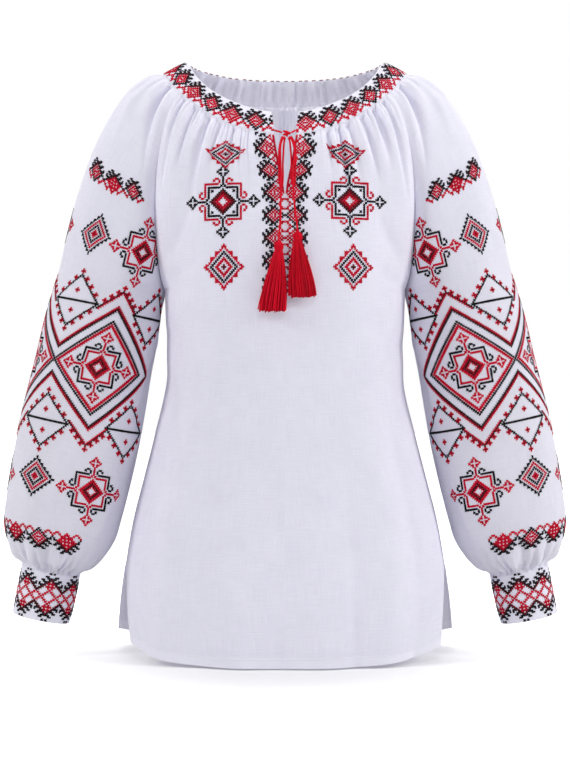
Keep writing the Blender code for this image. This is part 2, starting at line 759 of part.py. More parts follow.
def tassel(name, place, surface, group, helpers):
    """A tassel: its strands are fused into its bound head."""
    head = turned(name + "_turning", TASSEL_HEAD, TASSEL_SIDES)
    locks = strands(name + "_strands", place["top"], place["end"])
    for helper in (head, locks):
        helpers.objects.link(helper)
        helper.hide_render = True
        helper.display_type = "WIRE"
    seen = bpy.context.evaluated_depsgraph_get()
    mesh = bpy.data.meshes.new_from_object(head.evaluated_get(seen))
    mesh.name = name
    made = add_object(name, mesh, surface, group)
    made.location = place["top"]
    locks.location = place["top"]
    union = made.modifiers.new("strands", "BOOLEAN")
    union.operation = "UNION"
    union.object = locks
    return made


def main():
    clear_scene()
    group = bpy.data.collections.new("vyshyvanka_shirt")
    bpy.context.scene.collection.children.link(group)
    linen = material("white_linen", (0.80, 0.80, 0.86), 0.85)
    cloth("front", front_grids(FRONT_COLUMNS, YOKE_ROWS, BODY_ROWS, HEM_ROWS), CLOTH, linen, group)
    cloth("back", [back_grid(BACK_COLUMNS, YOKE_ROWS, BODY_ROWS, HEM_ROWS)], CLOTH, linen, group)
    for sign, side in ((-1, "right"), (1, "left")):
        grid = sleeve_side(sign, ARM_COLUMNS, CAP_ROWS, ARM_ROWS)
        cloth(f"sleeve_{side}", [grid], CLOTH, linen, group)
        cuff(sign, f"cuff_{side}", linen, group)
    neckband(linen, group)
    red = material("red_cord", (0.62, 0.01, 0.03), 0.6)
    helpers = bpy.data.collections.new("helpers")
    bpy.context.scene.collection.children.link(helpers)
    knot(red, group)
    for name, route in (("tie_right", TIE_RIGHT), ("tie_left", TIE_LEFT), ("loop_right", LOOP_RIGHT),
                        ("loop_left", LOOP_LEFT), ("tail_right", TAIL_RIGHT), ("tail_left", TAIL_LEFT)):
        cord(name, route, red, group)
    tassel("tassel_right", TASSEL_RIGHT, red, group, helpers)
    tassel("tassel_left", TASSEL_LEFT, red, group, helpers)


main()
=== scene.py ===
"""The looks of a raglan vyshyvanka shirt: its linen, its cross stitch, its cord and its tassels.

Metres, +Z up, the front faces -Y. "right" and "left" are the wearer's own, so the right sleeve is at -X.
"""

import math

import bmesh
import bpy
import numpy as np
from mathutils import Matrix, Vector
from mathutils.bvhtree import BVHTree


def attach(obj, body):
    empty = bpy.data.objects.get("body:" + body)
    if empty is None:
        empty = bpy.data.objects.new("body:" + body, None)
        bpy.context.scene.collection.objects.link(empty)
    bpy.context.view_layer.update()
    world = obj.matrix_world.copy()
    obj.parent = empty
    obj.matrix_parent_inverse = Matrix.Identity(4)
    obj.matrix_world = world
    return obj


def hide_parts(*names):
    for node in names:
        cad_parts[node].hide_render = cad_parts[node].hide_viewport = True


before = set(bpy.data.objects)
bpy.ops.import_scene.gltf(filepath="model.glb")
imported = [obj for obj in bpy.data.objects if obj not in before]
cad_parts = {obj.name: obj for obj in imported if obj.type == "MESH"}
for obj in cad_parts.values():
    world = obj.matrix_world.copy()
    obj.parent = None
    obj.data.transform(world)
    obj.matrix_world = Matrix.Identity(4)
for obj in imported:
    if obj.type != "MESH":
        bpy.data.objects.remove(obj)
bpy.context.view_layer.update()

# ---- camera ----
CAMERA_AT = (0.0, -2.2, -0.3363)
CAMERA_LENS = 117.7       # millimetres, on a 36 mm sensor

# ---- the studio's sizes ----
FLOOR_Z = -0.6572         # just under the hem
FLOOR_RADIUS = 9.0
FLOOR_SIDES = 64
FLOOR_LIFT = 0.02         # how much the camera sees the floor lit up by itself, near the shirt
SKY_LIGHT = 0.45          # the white sky's strength, as light
LAMPS = (
    # name, at, aim, size, watts
    ("left", (-2.7, -1.2, 1.3), (0.0, 0.0, -0.32), 0.8, 40.0),
    ("right", (2.7, -1.2, 0.9), (0.0, 0.0, -0.32), 1.0, 44.0),
    ("front", (0.2, -2.9, 1.7), (0.0, 0.0, -0.1), 0.8, 17.0),
    ("top", (0.0, 0.6, 2.1), (0.0, 0.0, -0.3), 1.2, 20.0),
    ("through_chest", (0.0, -0.06, -0.13), (0.0, 0.05, -0.02), 0.06, 0.075),
    ("through_hem", (0.0, -0.05, -0.54), (0.0, 0.06, -0.60), 0.08, 0.11),
)

# ---- looks; the colours are dark, then light ----
WEAVE_DEPTH = 0.00022
BAND_WEAVE_DEPTH = 0.00026
LINEN_TONES = ((0.720, 0.705, 0.835), (0.840, 0.825, 0.960))
FLOOR_TONES = ((0.80, 0.80, 0.80), (0.84, 0.84, 0.84))
# Stranded embroidery floss, and the smooth thread of the cord and the tassels.
FLOSS = {"patch": 60.0, "fibre": (2600.0, 2600.0, 2600.0), "detail": 1.0, "by_tone": 0.6, "by_patch": 0.6,
         "rough": 0.55, "relief": 0.00012, "shine": 0.08}
SMOOTH_THREAD = {"patch": 120.0, "fibre": (3200.0, 3200.0, 700.0), "detail": 2.0, "by_tone": 0.7,
                 "by_patch": 0.5, "rough": 0.45, "relief": 0.00010, "shine": 0.10}
THREAD_LOOKS = {
    "red_cord": (SMOOTH_THREAD, (0.38, 0.001, 0.009), (0.78, 0.003, 0.025)),
    "red_floss": (FLOSS, (0.46, 0.004, 0.020), (0.68, 0.009, 0.040)),
    "dark_red_floss": (FLOSS, (0.10, 0.003, 0.008), (0.22, 0.008, 0.018)),
    "black_floss": (FLOSS, (0.006, 0.005, 0.007), (0.022, 0.018, 0.022)),
    "white_thread": (SMOOTH_THREAD, (0.66, 0.66, 0.72), (0.82, 0.82, 0.88)),
}

# ---- cord and tassels ----
CORD_RADIUS = 0.0011
KNOT_CENTRE = (0.0020, -0.1030, -0.0590)
KNOT_SIZE = (0.0046, 0.0036, 0.0038)        # half sizes
# The tie runs from each band end to the knot. A loop and a tail hang from the knot on each side.
TIE_RIGHT = (
    # x, y, z
    (-0.0031, -0.1026, -0.0580),
    (-0.0076, -0.1014, -0.0563),
    (-0.0120, -0.0990, -0.0547),
)
TIE_LEFT = (
    # x, y, z
    (0.0071, -0.1026, -0.0579),
    (0.0098, -0.1014, -0.0563),
    (0.0121, -0.0992, -0.0548),
)
LOOP_RIGHT = (
    # x, y, z
    (0.0002, -0.1036, -0.0634),
    (-0.0009, -0.1052, -0.0690),
    (-0.0018, -0.1082, -0.0800),
    (-0.0023, -0.1116, -0.0920),
    (-0.0023, -0.1146, -0.1040),
    (-0.0024, -0.1167, -0.1135),
    (-0.0029, -0.1172, -0.1190),
    (-0.0043, -0.1173, -0.1208),
    (-0.0057, -0.1172, -0.1190),
    (-0.0062, -0.1165, -0.1135),
    (-0.0066, -0.1143, -0.1040),
    (-0.0069, -0.1118, -0.0920),
    (-0.0067, -0.1086, -0.0800),
    (-0.0056, -0.1054, -0.0700),
    (-0.0028, -0.1031, -0.0617),
)
LOOP_LEFT = (
    # x, y, z
    (0.0038, -0.1036, -0.0634),
    (0.0054, -0.1052, -0.0690),
    (0.0066, -0.1082, -0.0800),
    (0.0070, -0.1117, -0.0920),
    (0.0071, -0.1146, -0.1040),
    (0.0073, -0.1167, -0.1120),
    (0.0078, -0.1172, -0.1170),
    (0.0092, -0.1173, -0.1188),
    (0.0106, -0.1172, -0.1170),
    (0.0111, -0.1163, -0.1120),
    (0.0115, -0.1145, -0.1040),
    (0.0119, -0.1119, -0.0920),
    (0.0120, -0.1089, -0.0800),
    (0.0106, -0.1060, -0.0700),
    (0.0068, -0.1031, -0.0617),
)
TAIL_RIGHT = (
    # x, y, z
    (-0.0006, -0.1066, -0.0626),
    (-0.0034, -0.1082, -0.0675),
    (-0.0052, -0.1098, -0.0760),
    (-0.0052, -0.1122, -0.0860),
    (-0.0047, -0.1150, -0.0960),
    (-0.0044, -0.1177, -0.1070),
    (-0.0045, -0.1204, -0.1190),
    (-0.0046, -0.1207, -0.1270),
    (-0.0047, -0.1208, -0.1370),
    (-0.0049, -0.1213, -0.1500),
    (-0.0056, -0.1228, -0.1630),
    (-0.0064, -0.1252, -0.1730),
    (-0.0068, -0.1277, -0.1814),
)
TAIL_LEFT = (
    # x, y, z
    (0.0046, -0.1066, -0.0626),
    (0.0078, -0.1082, -0.0675),
    (0.0104, -0.1100, -0.0760),
    (0.0105, -0.1126, -0.0860),
    (0.0095, -0.1152, -0.0960),
    (0.0091, -0.1179, -0.1070),
    (0.0092, -0.1204, -0.1180),
    (0.0094, -0.1207, -0.1260),
    (0.0102, -0.1208, -0.1370),
    (0.0116, -0.1216, -0.1490),
    (0.0130, -0.1238, -0.1600),
    (0.0139, -0.1270, -0.1701),
)
CORD_TWIST = 260.0        # turns of the plies, in radians for each metre
CORD_PLIES = 3
PLY_MEAN = 0.93           # of the cord's radius
PLY_BULGE = 0.12          # how much further out a ply stands
CORD_END = 0.55           # a cut end is drawn in to this
CORD_SIDES = 15
ROPE_STEP = 0.0011        # between the rings of the cord
INTO_TASSEL = 0.034       # the tail runs on this far inside its tassel

TASSEL_HEAD = (
    # down, radius: the bound head, turned
    (0.0003, 0.0016),
    (0.0022, 0.0040),
    (0.0055, 0.0053),
    (0.0085, 0.0050),
    (0.0098, 0.0043),
)
TASSEL_RIGHT = {"top": (-0.0069, -0.1285, -0.1820), "end": (-0.0139, -0.1316, -0.2595)}
TASSEL_LEFT = {"top": (0.0140, -0.1280, -0.1707), "end": (0.0194, -0.1315, -0.2440)}
HEAD_STRANDS = 30
HEAD_STRAND_RADIUS = 0.00058
SKIRT_STRANDS = 190
SKIRT_TOP = 0.0095        # below the tassel's top
SKIRT_ROOT = 0.0040       # radius
SKIRT_END = (0.0158, 0.0074)      # half width and half depth
STRAND_RADIUS = 0.00052
STRAND_SIDES = 4

# ---- the cloth's form, as the solids have it ----
LINEN_WALL = 0.0010
BAND_WALL = 0.0016
UNDERARM_GAP = 0.0026     # between the body's and the sleeve's cloth at the underarm point
NECK_SEAM_SHARE = -0.0022  # the cloth starts this share of its leaving tangent up inside the band
BODY_SEAM_WIDTH = 0.42    # the share of a panel's half width that a raglan seam leads
SLEEVE_SEAM_WIDTH = 0.60  # the same, of half a sleeve
BODY_ARRIVE = (0.0, 0.0, -0.170)  # the cloth's tangent as it meets the underarm ring
SEAM_ARRIVE = (0.040, 0.165, 0.080)  # a raglan seam's tangent at the underarm: inward, across, down

NECK_HALF_WIDTH = 0.1165  # top edge of the neckband
NECK_FRONT = 0.082
NECK_BACK = 0.068
NECK_SLIT_TOP = 0.0155    # half the opening at the band's top edge
NECK_SLIT_SEAM = 0.0125   # half the opening at the band's seam
FRONT_OUT = 0.019         # how far out the seam lies from the top edge, at the front centre
FRONT_SEAM_ANGLE = 58.0   # raglan seam on the neckband, degrees from the front centre
BACK_SEAM_ANGLE = 122.0

UNDERARM_HALF = 0.141     # underarm point, from the centre
UNDERARM_DEPTH = 0.115    # half depth of the body there, a mean of its front and back
UNDERARM_Z = -0.230
SLIT_TOP_Z = -0.553       # upper end of the side slits
SIDE_HEM_Z = -0.632       # the hem at the side edges
SLIT_DRAWN_IN = 0.016     # at the hem, the front's side edge lies this much nearer the centre
SLIT_FRONT = 0.030        # at the hem, the front's side edge lies this far forward
SLIT_BACK = 0.012         # at the hem, the back's side edge lies this far back
SIDE_CURVE = 0.9          # exponent of the torso's section: 1 is an ellipse, less is fuller

ARM_TILT = math.radians(11.5)
ARM_FORWARD = 0.05        # the sleeve's drift to the front for each metre down
ARM_TOP_WIDTH = 0.062     # half width of the sleeve at the underarm ring
CUFF_TOP = 0.3483         # along the arm, from the underarm ring
CUFF_LENGTH = 0.056
CUFF_HALF_WIDTH = 0.0335
CUFF_HALF_DEPTH = 0.0320
CUFF_TAPER = 0.001        # both half sizes shrink this much from the cuff's top to its end
ARM_CENTRE_X = UNDERARM_HALF + UNDERARM_GAP + ARM_TOP_WIDTH * math.cos(ARM_TILT)      # of the left arm
ARM_CENTRE_Z = UNDERARM_Z + ARM_TOP_WIDTH * math.sin(ARM_TILT)
ARM_WAY = (-math.sin(ARM_TILT), -ARM_FORWARD, -math.cos(ARM_TILT))     # down the right arm

# Neckband: height of the top edge, and how far its seam edge lies out and down from it.
NECK_RING = (
    # angle, top_z, out, fall
    (0.0, -0.0340, FRONT_OUT, 0.0260),
    (15.0, -0.0290, 0.0190, 0.0258),
    (30.0, -0.0190, 0.0200, 0.0245),
    (45.0, -0.0050, 0.0230, 0.0190),
    (60.0, 0.0130, 0.0255, 0.0160),
    (75.0, 0.0320, 0.0265, 0.0150),
    (90.0, 0.0375, 0.0265, 0.0140),
    (120.0, 0.0335, 0.0235, 0.0215),
    (150.0, 0.0280, 0.0160, 0.0270),
    (180.0, 0.0265, 0.0120, 0.0290),
)

# How the cloth leaves the neck seam, as metres of tangent.
LEAVE = (
    # angle, sideways, forward, down
    (0.0, 0.000, 0.050, 0.170),
    (30.0, 0.045, 0.075, 0.165),
    (58.0, 0.105, 0.085, 0.120),
    (90.0, 0.218, 0.010, 0.018),
    (122.0, 0.105, -0.070, 0.130),
    (150.0, 0.030, -0.060, 0.180),
    (180.0, 0.000, -0.045, 0.190),
)

# Torso sections from the underarm down.
TORSO = (
    # z, half_width, front, back
    (-0.230, 0.1410, 0.1220, 0.1060),
    (-0.277, 0.1395, 0.1210, 0.1040),
    (-0.313, 0.1390, 0.1205, 0.1030),
    (-0.360, 0.1440, 0.1215, 0.1040),
    (-0.407, 0.1550, 0.1240, 0.1070),
    (-0.454, 0.1670, 0.1275, 0.1110),
    (-0.501, 0.1790, 0.1315, 0.1160),
    (-0.549, 0.1875, 0.1355, 0.1210),
    (-0.596, 0.1945, 0.1385, 0.1250),
    (-0.660, 0.2000, 0.1410, 0.1280),
)

# Hem height across a panel, from its middle (0) to its side edge (1).
HEM = (
    # across, front_z, back_z
    (0.00, -0.6555, -0.6530),
    (0.35, -0.6545, -0.6520),
    (0.60, -0.6490, -0.6470),
    (0.75, -0.6420, -0.6410),
    (0.88, -0.6340, -0.6350),
    (1.00, -0.6190, -0.6310),
)

# Sleeve sections along the arm, down from the underarm ring.
SLEEVE = (
    # along, half_width, half_depth
    (0.000, 0.0620, 0.0640),
    (0.060, 0.0670, 0.0625),
    (0.100, 0.0678, 0.0620),
    (0.145, 0.0697, 0.0615),
    (0.193, 0.0710, 0.0615),
    (0.241, 0.0698, 0.0612),
    (0.275, 0.0680, 0.0602),
    (0.300, 0.0655, 0.0585),
    (0.316, 0.0600, 0.0545),
    (0.329, 0.0530, 0.0485),
    (0.3385, 0.0450, 0.0415),
    (0.3445, 0.0355, 0.0338),
    (0.3478, 0.0335, 0.0320),
)

NECK_SLIT = (
    # down, half_width
    (0.00, 0.0125),
    (0.11, 0.0096),
    (0.24, 0.0054),
    (0.35, 0.0017),
    (0.43, 0.0000),
)

# The largest gathers, as ridges. "at" is the place on the gathered edge: -1 to 1 across a body panel,
# and 0 to 1 round a sleeve from its front seam. "reach" is how far the ridge runs from that edge.
FRONT_FOLDS = (
    # at, width, depth, reach
    (-0.93, 0.050, 0.0034, 0.085),
    (-0.81, 0.045, 0.0042, 0.120),
    (-0.69, 0.042, 0.0036, 0.085),
    (-0.57, 0.045, 0.0044, 0.130),
    (-0.45, 0.042, 0.0034, 0.075),
    (-0.34, 0.042, 0.0040, 0.100),
    (-0.23, 0.040, 0.0030, 0.065),
    (0.24, 0.040, 0.0032, 0.070),
    (0.35, 0.042, 0.0038, 0.085),
    (0.46, 0.044, 0.0044, 0.125),
    (0.58, 0.042, 0.0034, 0.080),
    (0.70, 0.046, 0.0042, 0.115),
    (0.82, 0.044, 0.0036, 0.090),
    (0.93, 0.050, 0.0034, 0.100),
)
BACK_FOLDS = (
    # at, width, depth, reach
    (-0.88, 0.065, 0.0036, 0.090),
    (-0.70, 0.060, 0.0040, 0.115),
    (-0.52, 0.062, 0.0034, 0.080),
    (-0.35, 0.058, 0.0042, 0.130),
    (-0.17, 0.060, 0.0032, 0.090),
    (0.01, 0.062, 0.0038, 0.110),
    (0.19, 0.058, 0.0032, 0.075),
    (0.36, 0.060, 0.0042, 0.125),
    (0.54, 0.062, 0.0036, 0.095),
    (0.71, 0.058, 0.0038, 0.105),
    (0.88, 0.065, 0.0034, 0.085),
)
CAP_FOLDS = (
    # at, width, depth, reach
    (0.07, 0.032, 0.0034, 0.110),
    (0.19, 0.036, 0.0042, 0.090),
    (0.31, 0.034, 0.0038, 0.130),
    (0.43, 0.036, 0.0034, 0.080),
    (0.55, 0.034, 0.0042, 0.105),
    (0.67, 0.036, 0.0036, 0.085),
    (0.80, 0.034, 0.0040, 0.120),
    (0.92, 0.032, 0.0034, 0.090),
)
CUFF_FOLDS = (
    # at, width, depth, reach
    (0.04, 0.028, 0.0030, 0.048),
    (0.13, 0.026, 0.0036, 0.036),
    (0.22, 0.030, 0.0032, 0.056),
    (0.32, 0.026, 0.0040, 0.040),
    (0.41, 0.028, 0.0032, 0.060),
    (0.50, 0.026, 0.0036, 0.038),
    (0.60, 0.030, 0.0040, 0.052),
    (0.69, 0.026, 0.0032, 0.042),
    (0.78, 0.028, 0.0036, 0.058),
    (0.88, 0.026, 0.0034, 0.038),
    (0.96, 0.028, 0.0030, 0.046),
)
FOLD_RISE = 0.016         # a ridge reaches its full depth this far from the gathered edge

# The neckband's puckers behind the neck, and how far the band and the cuffs bulge.
PUCKER_PITCHES = (0.0074, 0.0095, 0.0131)
PUCKER_DEPTH = 0.0017
BAND_PADDING = 0.0007
CUFF_PADDING = 0.0006

# ---- the grids: even columns, to which the seams add closer ones, and rows closer at seams and hems ----
HALF_FRONT_COLUMNS = 116
BACK_COLUMNS = 190
SLEEVE_COLUMNS = 180
BAND_ROWS, BAND_COLUMNS = 13, 273
CUFF_ROWS, CUFF_COLUMNS = 15, 97
YOKE_ROWS = np.concatenate([np.linspace(0, 0.07, 11)[:-1], np.linspace(0.07, 1.0, 56)])
BODY_ROWS = np.linspace(UNDERARM_Z, SLIT_TOP_Z, 40)[1:]
HEM_ROWS = np.concatenate([np.linspace(0, 0.82, 14)[1:], np.linspace(0.84, 0.93, 10), [0.955, 0.98, 1.0]])
CAP_ROWS = np.concatenate([np.linspace(0, 0.07, 11)[:-1], np.linspace(0.07, 1.0, 52)])
ARM_ROWS = np.concatenate([np.linspace(0.0, 0.270, 46)[1:], np.linspace(0.274, 0.3490, 27)])

# ---- finer creases ----
# Small uneven gathers between the large ones, fine and broad, for each gathered edge.
FINE_GATHERS = {
    # edge: count, low, high, width, depth, reach, seed
    "front": ((40, -0.97, 0.97, 0.0125, -0.0036, 0.060, 5), (15, -0.94, 0.94, 0.0230, -0.0052, 0.120, 15)),
    "back": ((38, -0.97, 0.97, 0.0130, -0.0034, 0.065, 11), (15, -0.94, 0.94, 0.0240, -0.0052, 0.130, 17)),
    "cap": ((22, 0.03, 0.97, 0.0110, -0.0032, 0.060, 7), (9, 0.04, 0.96, 0.0200, -0.0050, 0.110, 13)),
    "cuff": ((28, 0.00, 1.00, 0.0085, -0.0056, 0.040, 9), (13, 0.00, 1.00, 0.0170, -0.0070, 0.060, 19)),
}
FINE_RISE = 0.005         # as FOLD_RISE, for these
# Soft upright folds of the body. "at" is the place across the panel, -1 to 1.
FRONT_DRAPE = (
    # at, width, depth, top_z
    (-0.90, 0.060, -0.0034, -0.260),
    (-0.70, 0.055, -0.0040, -0.300),
    (-0.52, 0.070, 0.0040, -0.280),
    (-0.34, 0.055, -0.0034, -0.340),
    (-0.17, 0.060, 0.0026, -0.400),
    (-0.02, 0.045, -0.0022, -0.450),
    (0.13, 0.060, 0.0026, -0.380),
    (0.27, 0.045, -0.0042, -0.330),
    (0.43, 0.065, 0.0036, -0.300),
    (0.58, 0.050, -0.0042, -0.270),
    (0.75, 0.060, 0.0042, -0.280),
    (0.91, 0.055, -0.0034, -0.240),
)
BACK_DRAPE = (
    # at, width, depth, top_z
    (-0.88, 0.055, -0.0038, -0.240),
    (-0.74, 0.065, 0.0042, -0.260),
    (-0.55, 0.060, -0.0042, -0.290),
    (-0.38, 0.070, 0.0038, -0.230),
    (-0.18, 0.055, -0.0034, -0.320),
    (0.03, 0.070, 0.0036, -0.250),
    (0.22, 0.055, -0.0038, -0.300),
    (0.42, 0.070, 0.0042, -0.250),
    (0.62, 0.055, -0.0040, -0.290),
    (0.82, 0.065, 0.0040, -0.260),
)
# Pulls that run from the underarm, in the body's x and z. The other side has them a little changed.
BODY_PULLS = (
    # x_from, z_from, x_to, z_to, width, depth
    (0.1390, -0.2080, 0.0960, -0.1300, 0.0080, -0.0038),
    (0.1360, -0.2280, 0.0830, -0.1900, 0.0085, -0.0032),
    (0.1350, -0.2460, 0.0780, -0.2620, 0.0090, 0.0026),
    (0.1345, -0.2700, 0.1080, -0.3600, 0.0090, -0.0036),
    (0.1360, -0.3100, 0.1240, -0.4600, 0.0100, -0.0036),
)
# Creases of a sleeve, in its chart: across from the top line (the front is negative), and down.
SLEEVE_PULLS = (
    # across_from, down_from, across_to, down_to, width, depth
    (-0.150, 0.225, -0.085, 0.130, 0.0085, -0.0040),
    (-0.165, 0.270, -0.110, 0.215, 0.0085, -0.0038),
    (-0.180, 0.300, -0.128, 0.330, 0.0090, 0.0030),
    (-0.140, 0.330, -0.118, 0.455, 0.0085, -0.0038),
    (-0.175, 0.400, -0.120, 0.500, 0.0090, -0.0036),
    (-0.105, 0.470, -0.080, 0.585, 0.0070, 0.0024),
    (-0.060, 0.060, -0.050, 0.200, 0.0100, -0.0022),
    (0.020, 0.190, 0.028, 0.320, 0.0140, -0.0018),
    (0.150, 0.225, 0.095, 0.135, 0.0095, -0.0038),
    (0.165, 0.290, 0.105, 0.345, 0.0095, -0.0036),
    (0.170, 0.370, 0.115, 0.440, 0.0095, 0.0032),
    (0.130, 0.430, 0.105, 0.560, 0.0085, -0.0034),
)
DRAPE_LEAN = 0.10         # how far out a fold of the body leans, in shares of the panel for each metre
DRAPE_GROWTH = 0.28       # it is full this far below its top
GROOVE_DEPTH = 0.0003     # of a seam
GROOVE_WIDTH = 0.0020
HEM_DEEP = 0.0108         # the turned hem
SLIT_HEM_DEEP = 0.0058    # the narrow hems of the side slits
HEM_SOFT = 0.0005         # half the width of the step at a hem's edge
PLY = 0.00045             # how far a turned hem stands out

# ---- cross stitch ----
STITCH_SHAPE = {"Leg": 0.54, "Thread Radius": 0.40, "Rise": 0.20}      # shares of a cell
STITCH_HEIGHT = 0.0009
STITCH_LEAN = 2.0         # degrees, as a normal spread
STITCH_UNEVEN = 0.04      # normal spread of the size, as a share
STITCH_ASTRAY = 0.00004   # normal spread of the place
LONE_STITCH = 1.22        # a stitch with none beside it is this much larger
LARGEST_CELL = 0.006      # a cell that the cloth stretches past this has no stitch
PATCH_LIFT = 0.08         # how far over a patch its rays start
RAY_REACH = 0.12          # how far they go, which stops them short of the cloth's far side
HEM_STITCH = {"Half Length": 0.00105, "Thread Radius": 0.00026}
HEM_STITCH_PITCH = 0.0030
HEM_STITCH_AT = HEM_DEEP - 0.0012      # from the hem's edge
EDGE_STITCH = {"Half Length": 0.0021, "Thread Radius": 0.00062}
EDGE_STITCH_PITCH = 0.0088
EDGE_STITCH_ASTRAY = 0.0008
BESIDE = ((1, 0), (-1, 0), (0, 1), (0, -1))
FLOSSES = {"red": "red_floss", "dark": "dark_red_floss", "black": "black_floss"}
CHEST_HEART = {7: "black", 6: "dark", 5: "dark", 4: "red", 3: "red"}
SLEEVE_HEART = {7: "red", 6: "red", 5: "dark", 4: "black", 3: "red"}
RHOMB_CENTRE = 27         # cells from the top line to the centre of a great rhomb
RHOMB_LINES = {24: "red", 25: "red", 27: "black", 34: "black", 35: "dark", 36: "red"}
BAND_CELLS = 336          # round the neckband
BAND_PERIOD = 14
CUFF_CELLS = 98           # round a cuff
CUFF_PERIOD = 14

# ---- where the motifs lie ----
CHEST_MOTIFS = (
    # motif, x, z, pitch across, pitch down, curl of its two side tips
    ("star", -0.0696, -0.1361, 0.00202, 0.00200, (0.0, 0.0)),
    ("star", 0.0726, -0.1349, 0.00202, 0.00200, (0.0, 0.0)),
    ("diamond", -0.0685, -0.2096, 0.00181, 0.00208, (0.0, 0.0)),
    ("diamond", 0.0764, -0.2095, 0.00181, 0.00208, (0.0, 0.0)),
    ("diamond", -0.0670, -0.0822, 0.00180, 0.00130, (0.0045, 0.0035)),
    ("diamond", 0.0680, -0.0824, 0.00180, 0.00130, (0.0085, 0.0035)),
)
# On a sleeve a place is the arc across from its top line and the length down from the neck seam.
SLEEVE_MOTIFS = (
    # motif, across, down, pitch across, pitch down, climb to its sides
    ("upper_border", 0.000, 0.1515, 0.00195, 0.00195, 0.27),
    ("lower_border", 0.000, 0.5660, 0.00206, 0.00190, 0.00),
    ("diamond", 0.001, 0.2120, 0.00172, 0.00200, 0.00),
    ("diamond", 0.000, 0.4992, 0.00200, 0.00188, 0.00),
    ("great_rhombs", 0.000, 0.3624, 0.00199, 0.00203, 0.00),
)
SLEEVE_STARS = ((-0.0690, -0.0605), (0.0755, 0.0815))      # across, of the lower and the upper star
LOWER_STARS = (0.5040, 0.0020, 0.00193)                    # down, pitch across, pitch down
UPPER_STARS = (0.2085, 0.0018, 0.0020)
STAR_TILT_REACH = 0.004   # an upper star's patch is turned to the cloth by points this far away
PLACKET_TOP_Z = -0.0504
PLACKET_ROWS = 105
PLACKET_PITCH = (0.00193, 0.00182)
PLACKET_INSET = 0.6       # cells from the slit's edge to the middle of the first stitch
PLACKET_RAYS_Y = -0.20    # where its rays start
SLIT_SHUT = 0.0006        # below this half width the slit has no edge to sew
BRIM_CLEAR = 0.0008       # the neckband hides what lies higher than this below its edge
CHEST_PATCH_Y = -0.12
BAND_CHART = (-8.4, 14.2)      # the row at the grid's first edge, and the rows down to its last
CUFF_CHART = (-14.3, 29.4)
ARM_TOP_RISE = 0.012      # above this over the underarm, "out" is away from the arm's top
# The sleeve's top line: the place round the sleeve, 0 to 1, against the length down from the neck seam.
TOP_LINE = (
    # down, around
    (0.000, 0.267),
    (0.150, 0.267),
    (0.216, 0.314),
    (0.292, 0.333),
    (0.360, 0.352),
    (0.427, 0.339),
    (0.500, 0.333),
    (0.630, 0.333),
)


def smooth(at, places, values):
    """A smooth curve through the table's values, read at "at"."""
    places = np.asarray(places, float)
    values = np.asarray(values, float)
    at = np.clip(np.asarray(at, float), places[0], places[-1])
    slopes = np.gradient(values, places)
    k = np.clip(np.searchsorted(places, at, side="right") - 1, 0, len(places) - 2)
    span = places[k + 1] - places[k]
    t = (at - places[k]) / span
    return (values[k] * (1 + 2 * t) * (1 - t) ** 2 + values[k + 1] * t * t * (3 - 2 * t)
            + span * slopes[k] * t * (1 - t) ** 2 - span * slopes[k + 1] * t * t * (1 - t))


def read(table, column, at):
    """The named table's column, by its first column."""
    rows = np.array(sorted(table))
    return smooth(at, rows[:, 0], rows[:, column])


def ease(at, start, end):
    """0 before start, 1 after end, and a soft step between."""
    t = np.clip((np.asarray(at, float) - start) / (end - start), 0.0, 1.0)
    return t * t * (3 - 2 * t)


def vectors(x, y, z):
    """Stack three coordinate arrays as points."""
    return np.stack(np.broadcast_arrays(x, y, z), axis=-1).astype(float)


def hermite(start, leave, end, arrive, t):
    """Cubic from start to end, with its tangents there; t is 0 to 1."""
    t = np.asarray(t, float)[..., None]
    return ((1 + 2 * t) * (1 - t) ** 2 * start + t * (1 - t) ** 2 * leave
            + t * t * (3 - 2 * t) * end - t * t * (1 - t) * arrive)


# ---- the neck ----
def neck_point(angle, down):
    """A point of the neckband: degrees from the front centre, and down from 0 at its top to 1."""
    turn = np.radians(angle)
    side = np.abs(angle)
    reach = np.where(np.cos(turn) > 0, NECK_FRONT, NECK_BACK)
    out = read(NECK_RING, 2, side) * down
    x = (NECK_HALF_WIDTH + out) * np.sin(turn)
    y = -(reach + out) * np.cos(turn)
    return vectors(x, y, read(NECK_RING, 1, side) - read(NECK_RING, 3, side) * down)


def leave_neck(angle):
    """The tangent of the cloth below the neck seam."""
    side = np.abs(angle)
    sign = np.sign(angle)
    return vectors(sign * read(LEAVE, 1, side), -read(LEAVE, 2, side), -read(LEAVE, 3, side))


def signed(angles):
    """Angles from 0 to 360 as angles from -180 to 180."""
    return np.where(angles > 180, angles - 360, angles)


def opening_angle(down):
    """The angle from the front centre to the opening's edge; down is 0 at the band's top."""
    half_open = NECK_SLIT_TOP + (NECK_SLIT_SEAM - NECK_SLIT_TOP) * down
    return math.degrees(math.asin(half_open / (NECK_HALF_WIDTH + FRONT_OUT * down)))


# ---- the body ----
def even_turns():
    """For shares of the arc from the side (-1) to the other side (1), the section's angle there."""
    turns = np.linspace(-math.pi / 2, math.pi / 2, 400)
    x = UNDERARM_HALF * np.sign(np.sin(turns)) * np.abs(np.sin(turns)) ** SIDE_CURVE
    y = UNDERARM_DEPTH * np.clip(np.cos(turns), 0, 1) ** SIDE_CURVE
    length = np.concatenate([[0.0], np.cumsum(np.hypot(np.diff(x), np.diff(y)))])
    return 2 * length / length[-1] - 1, turns


ARC_SHARES, ARC_TURNS = even_turns()


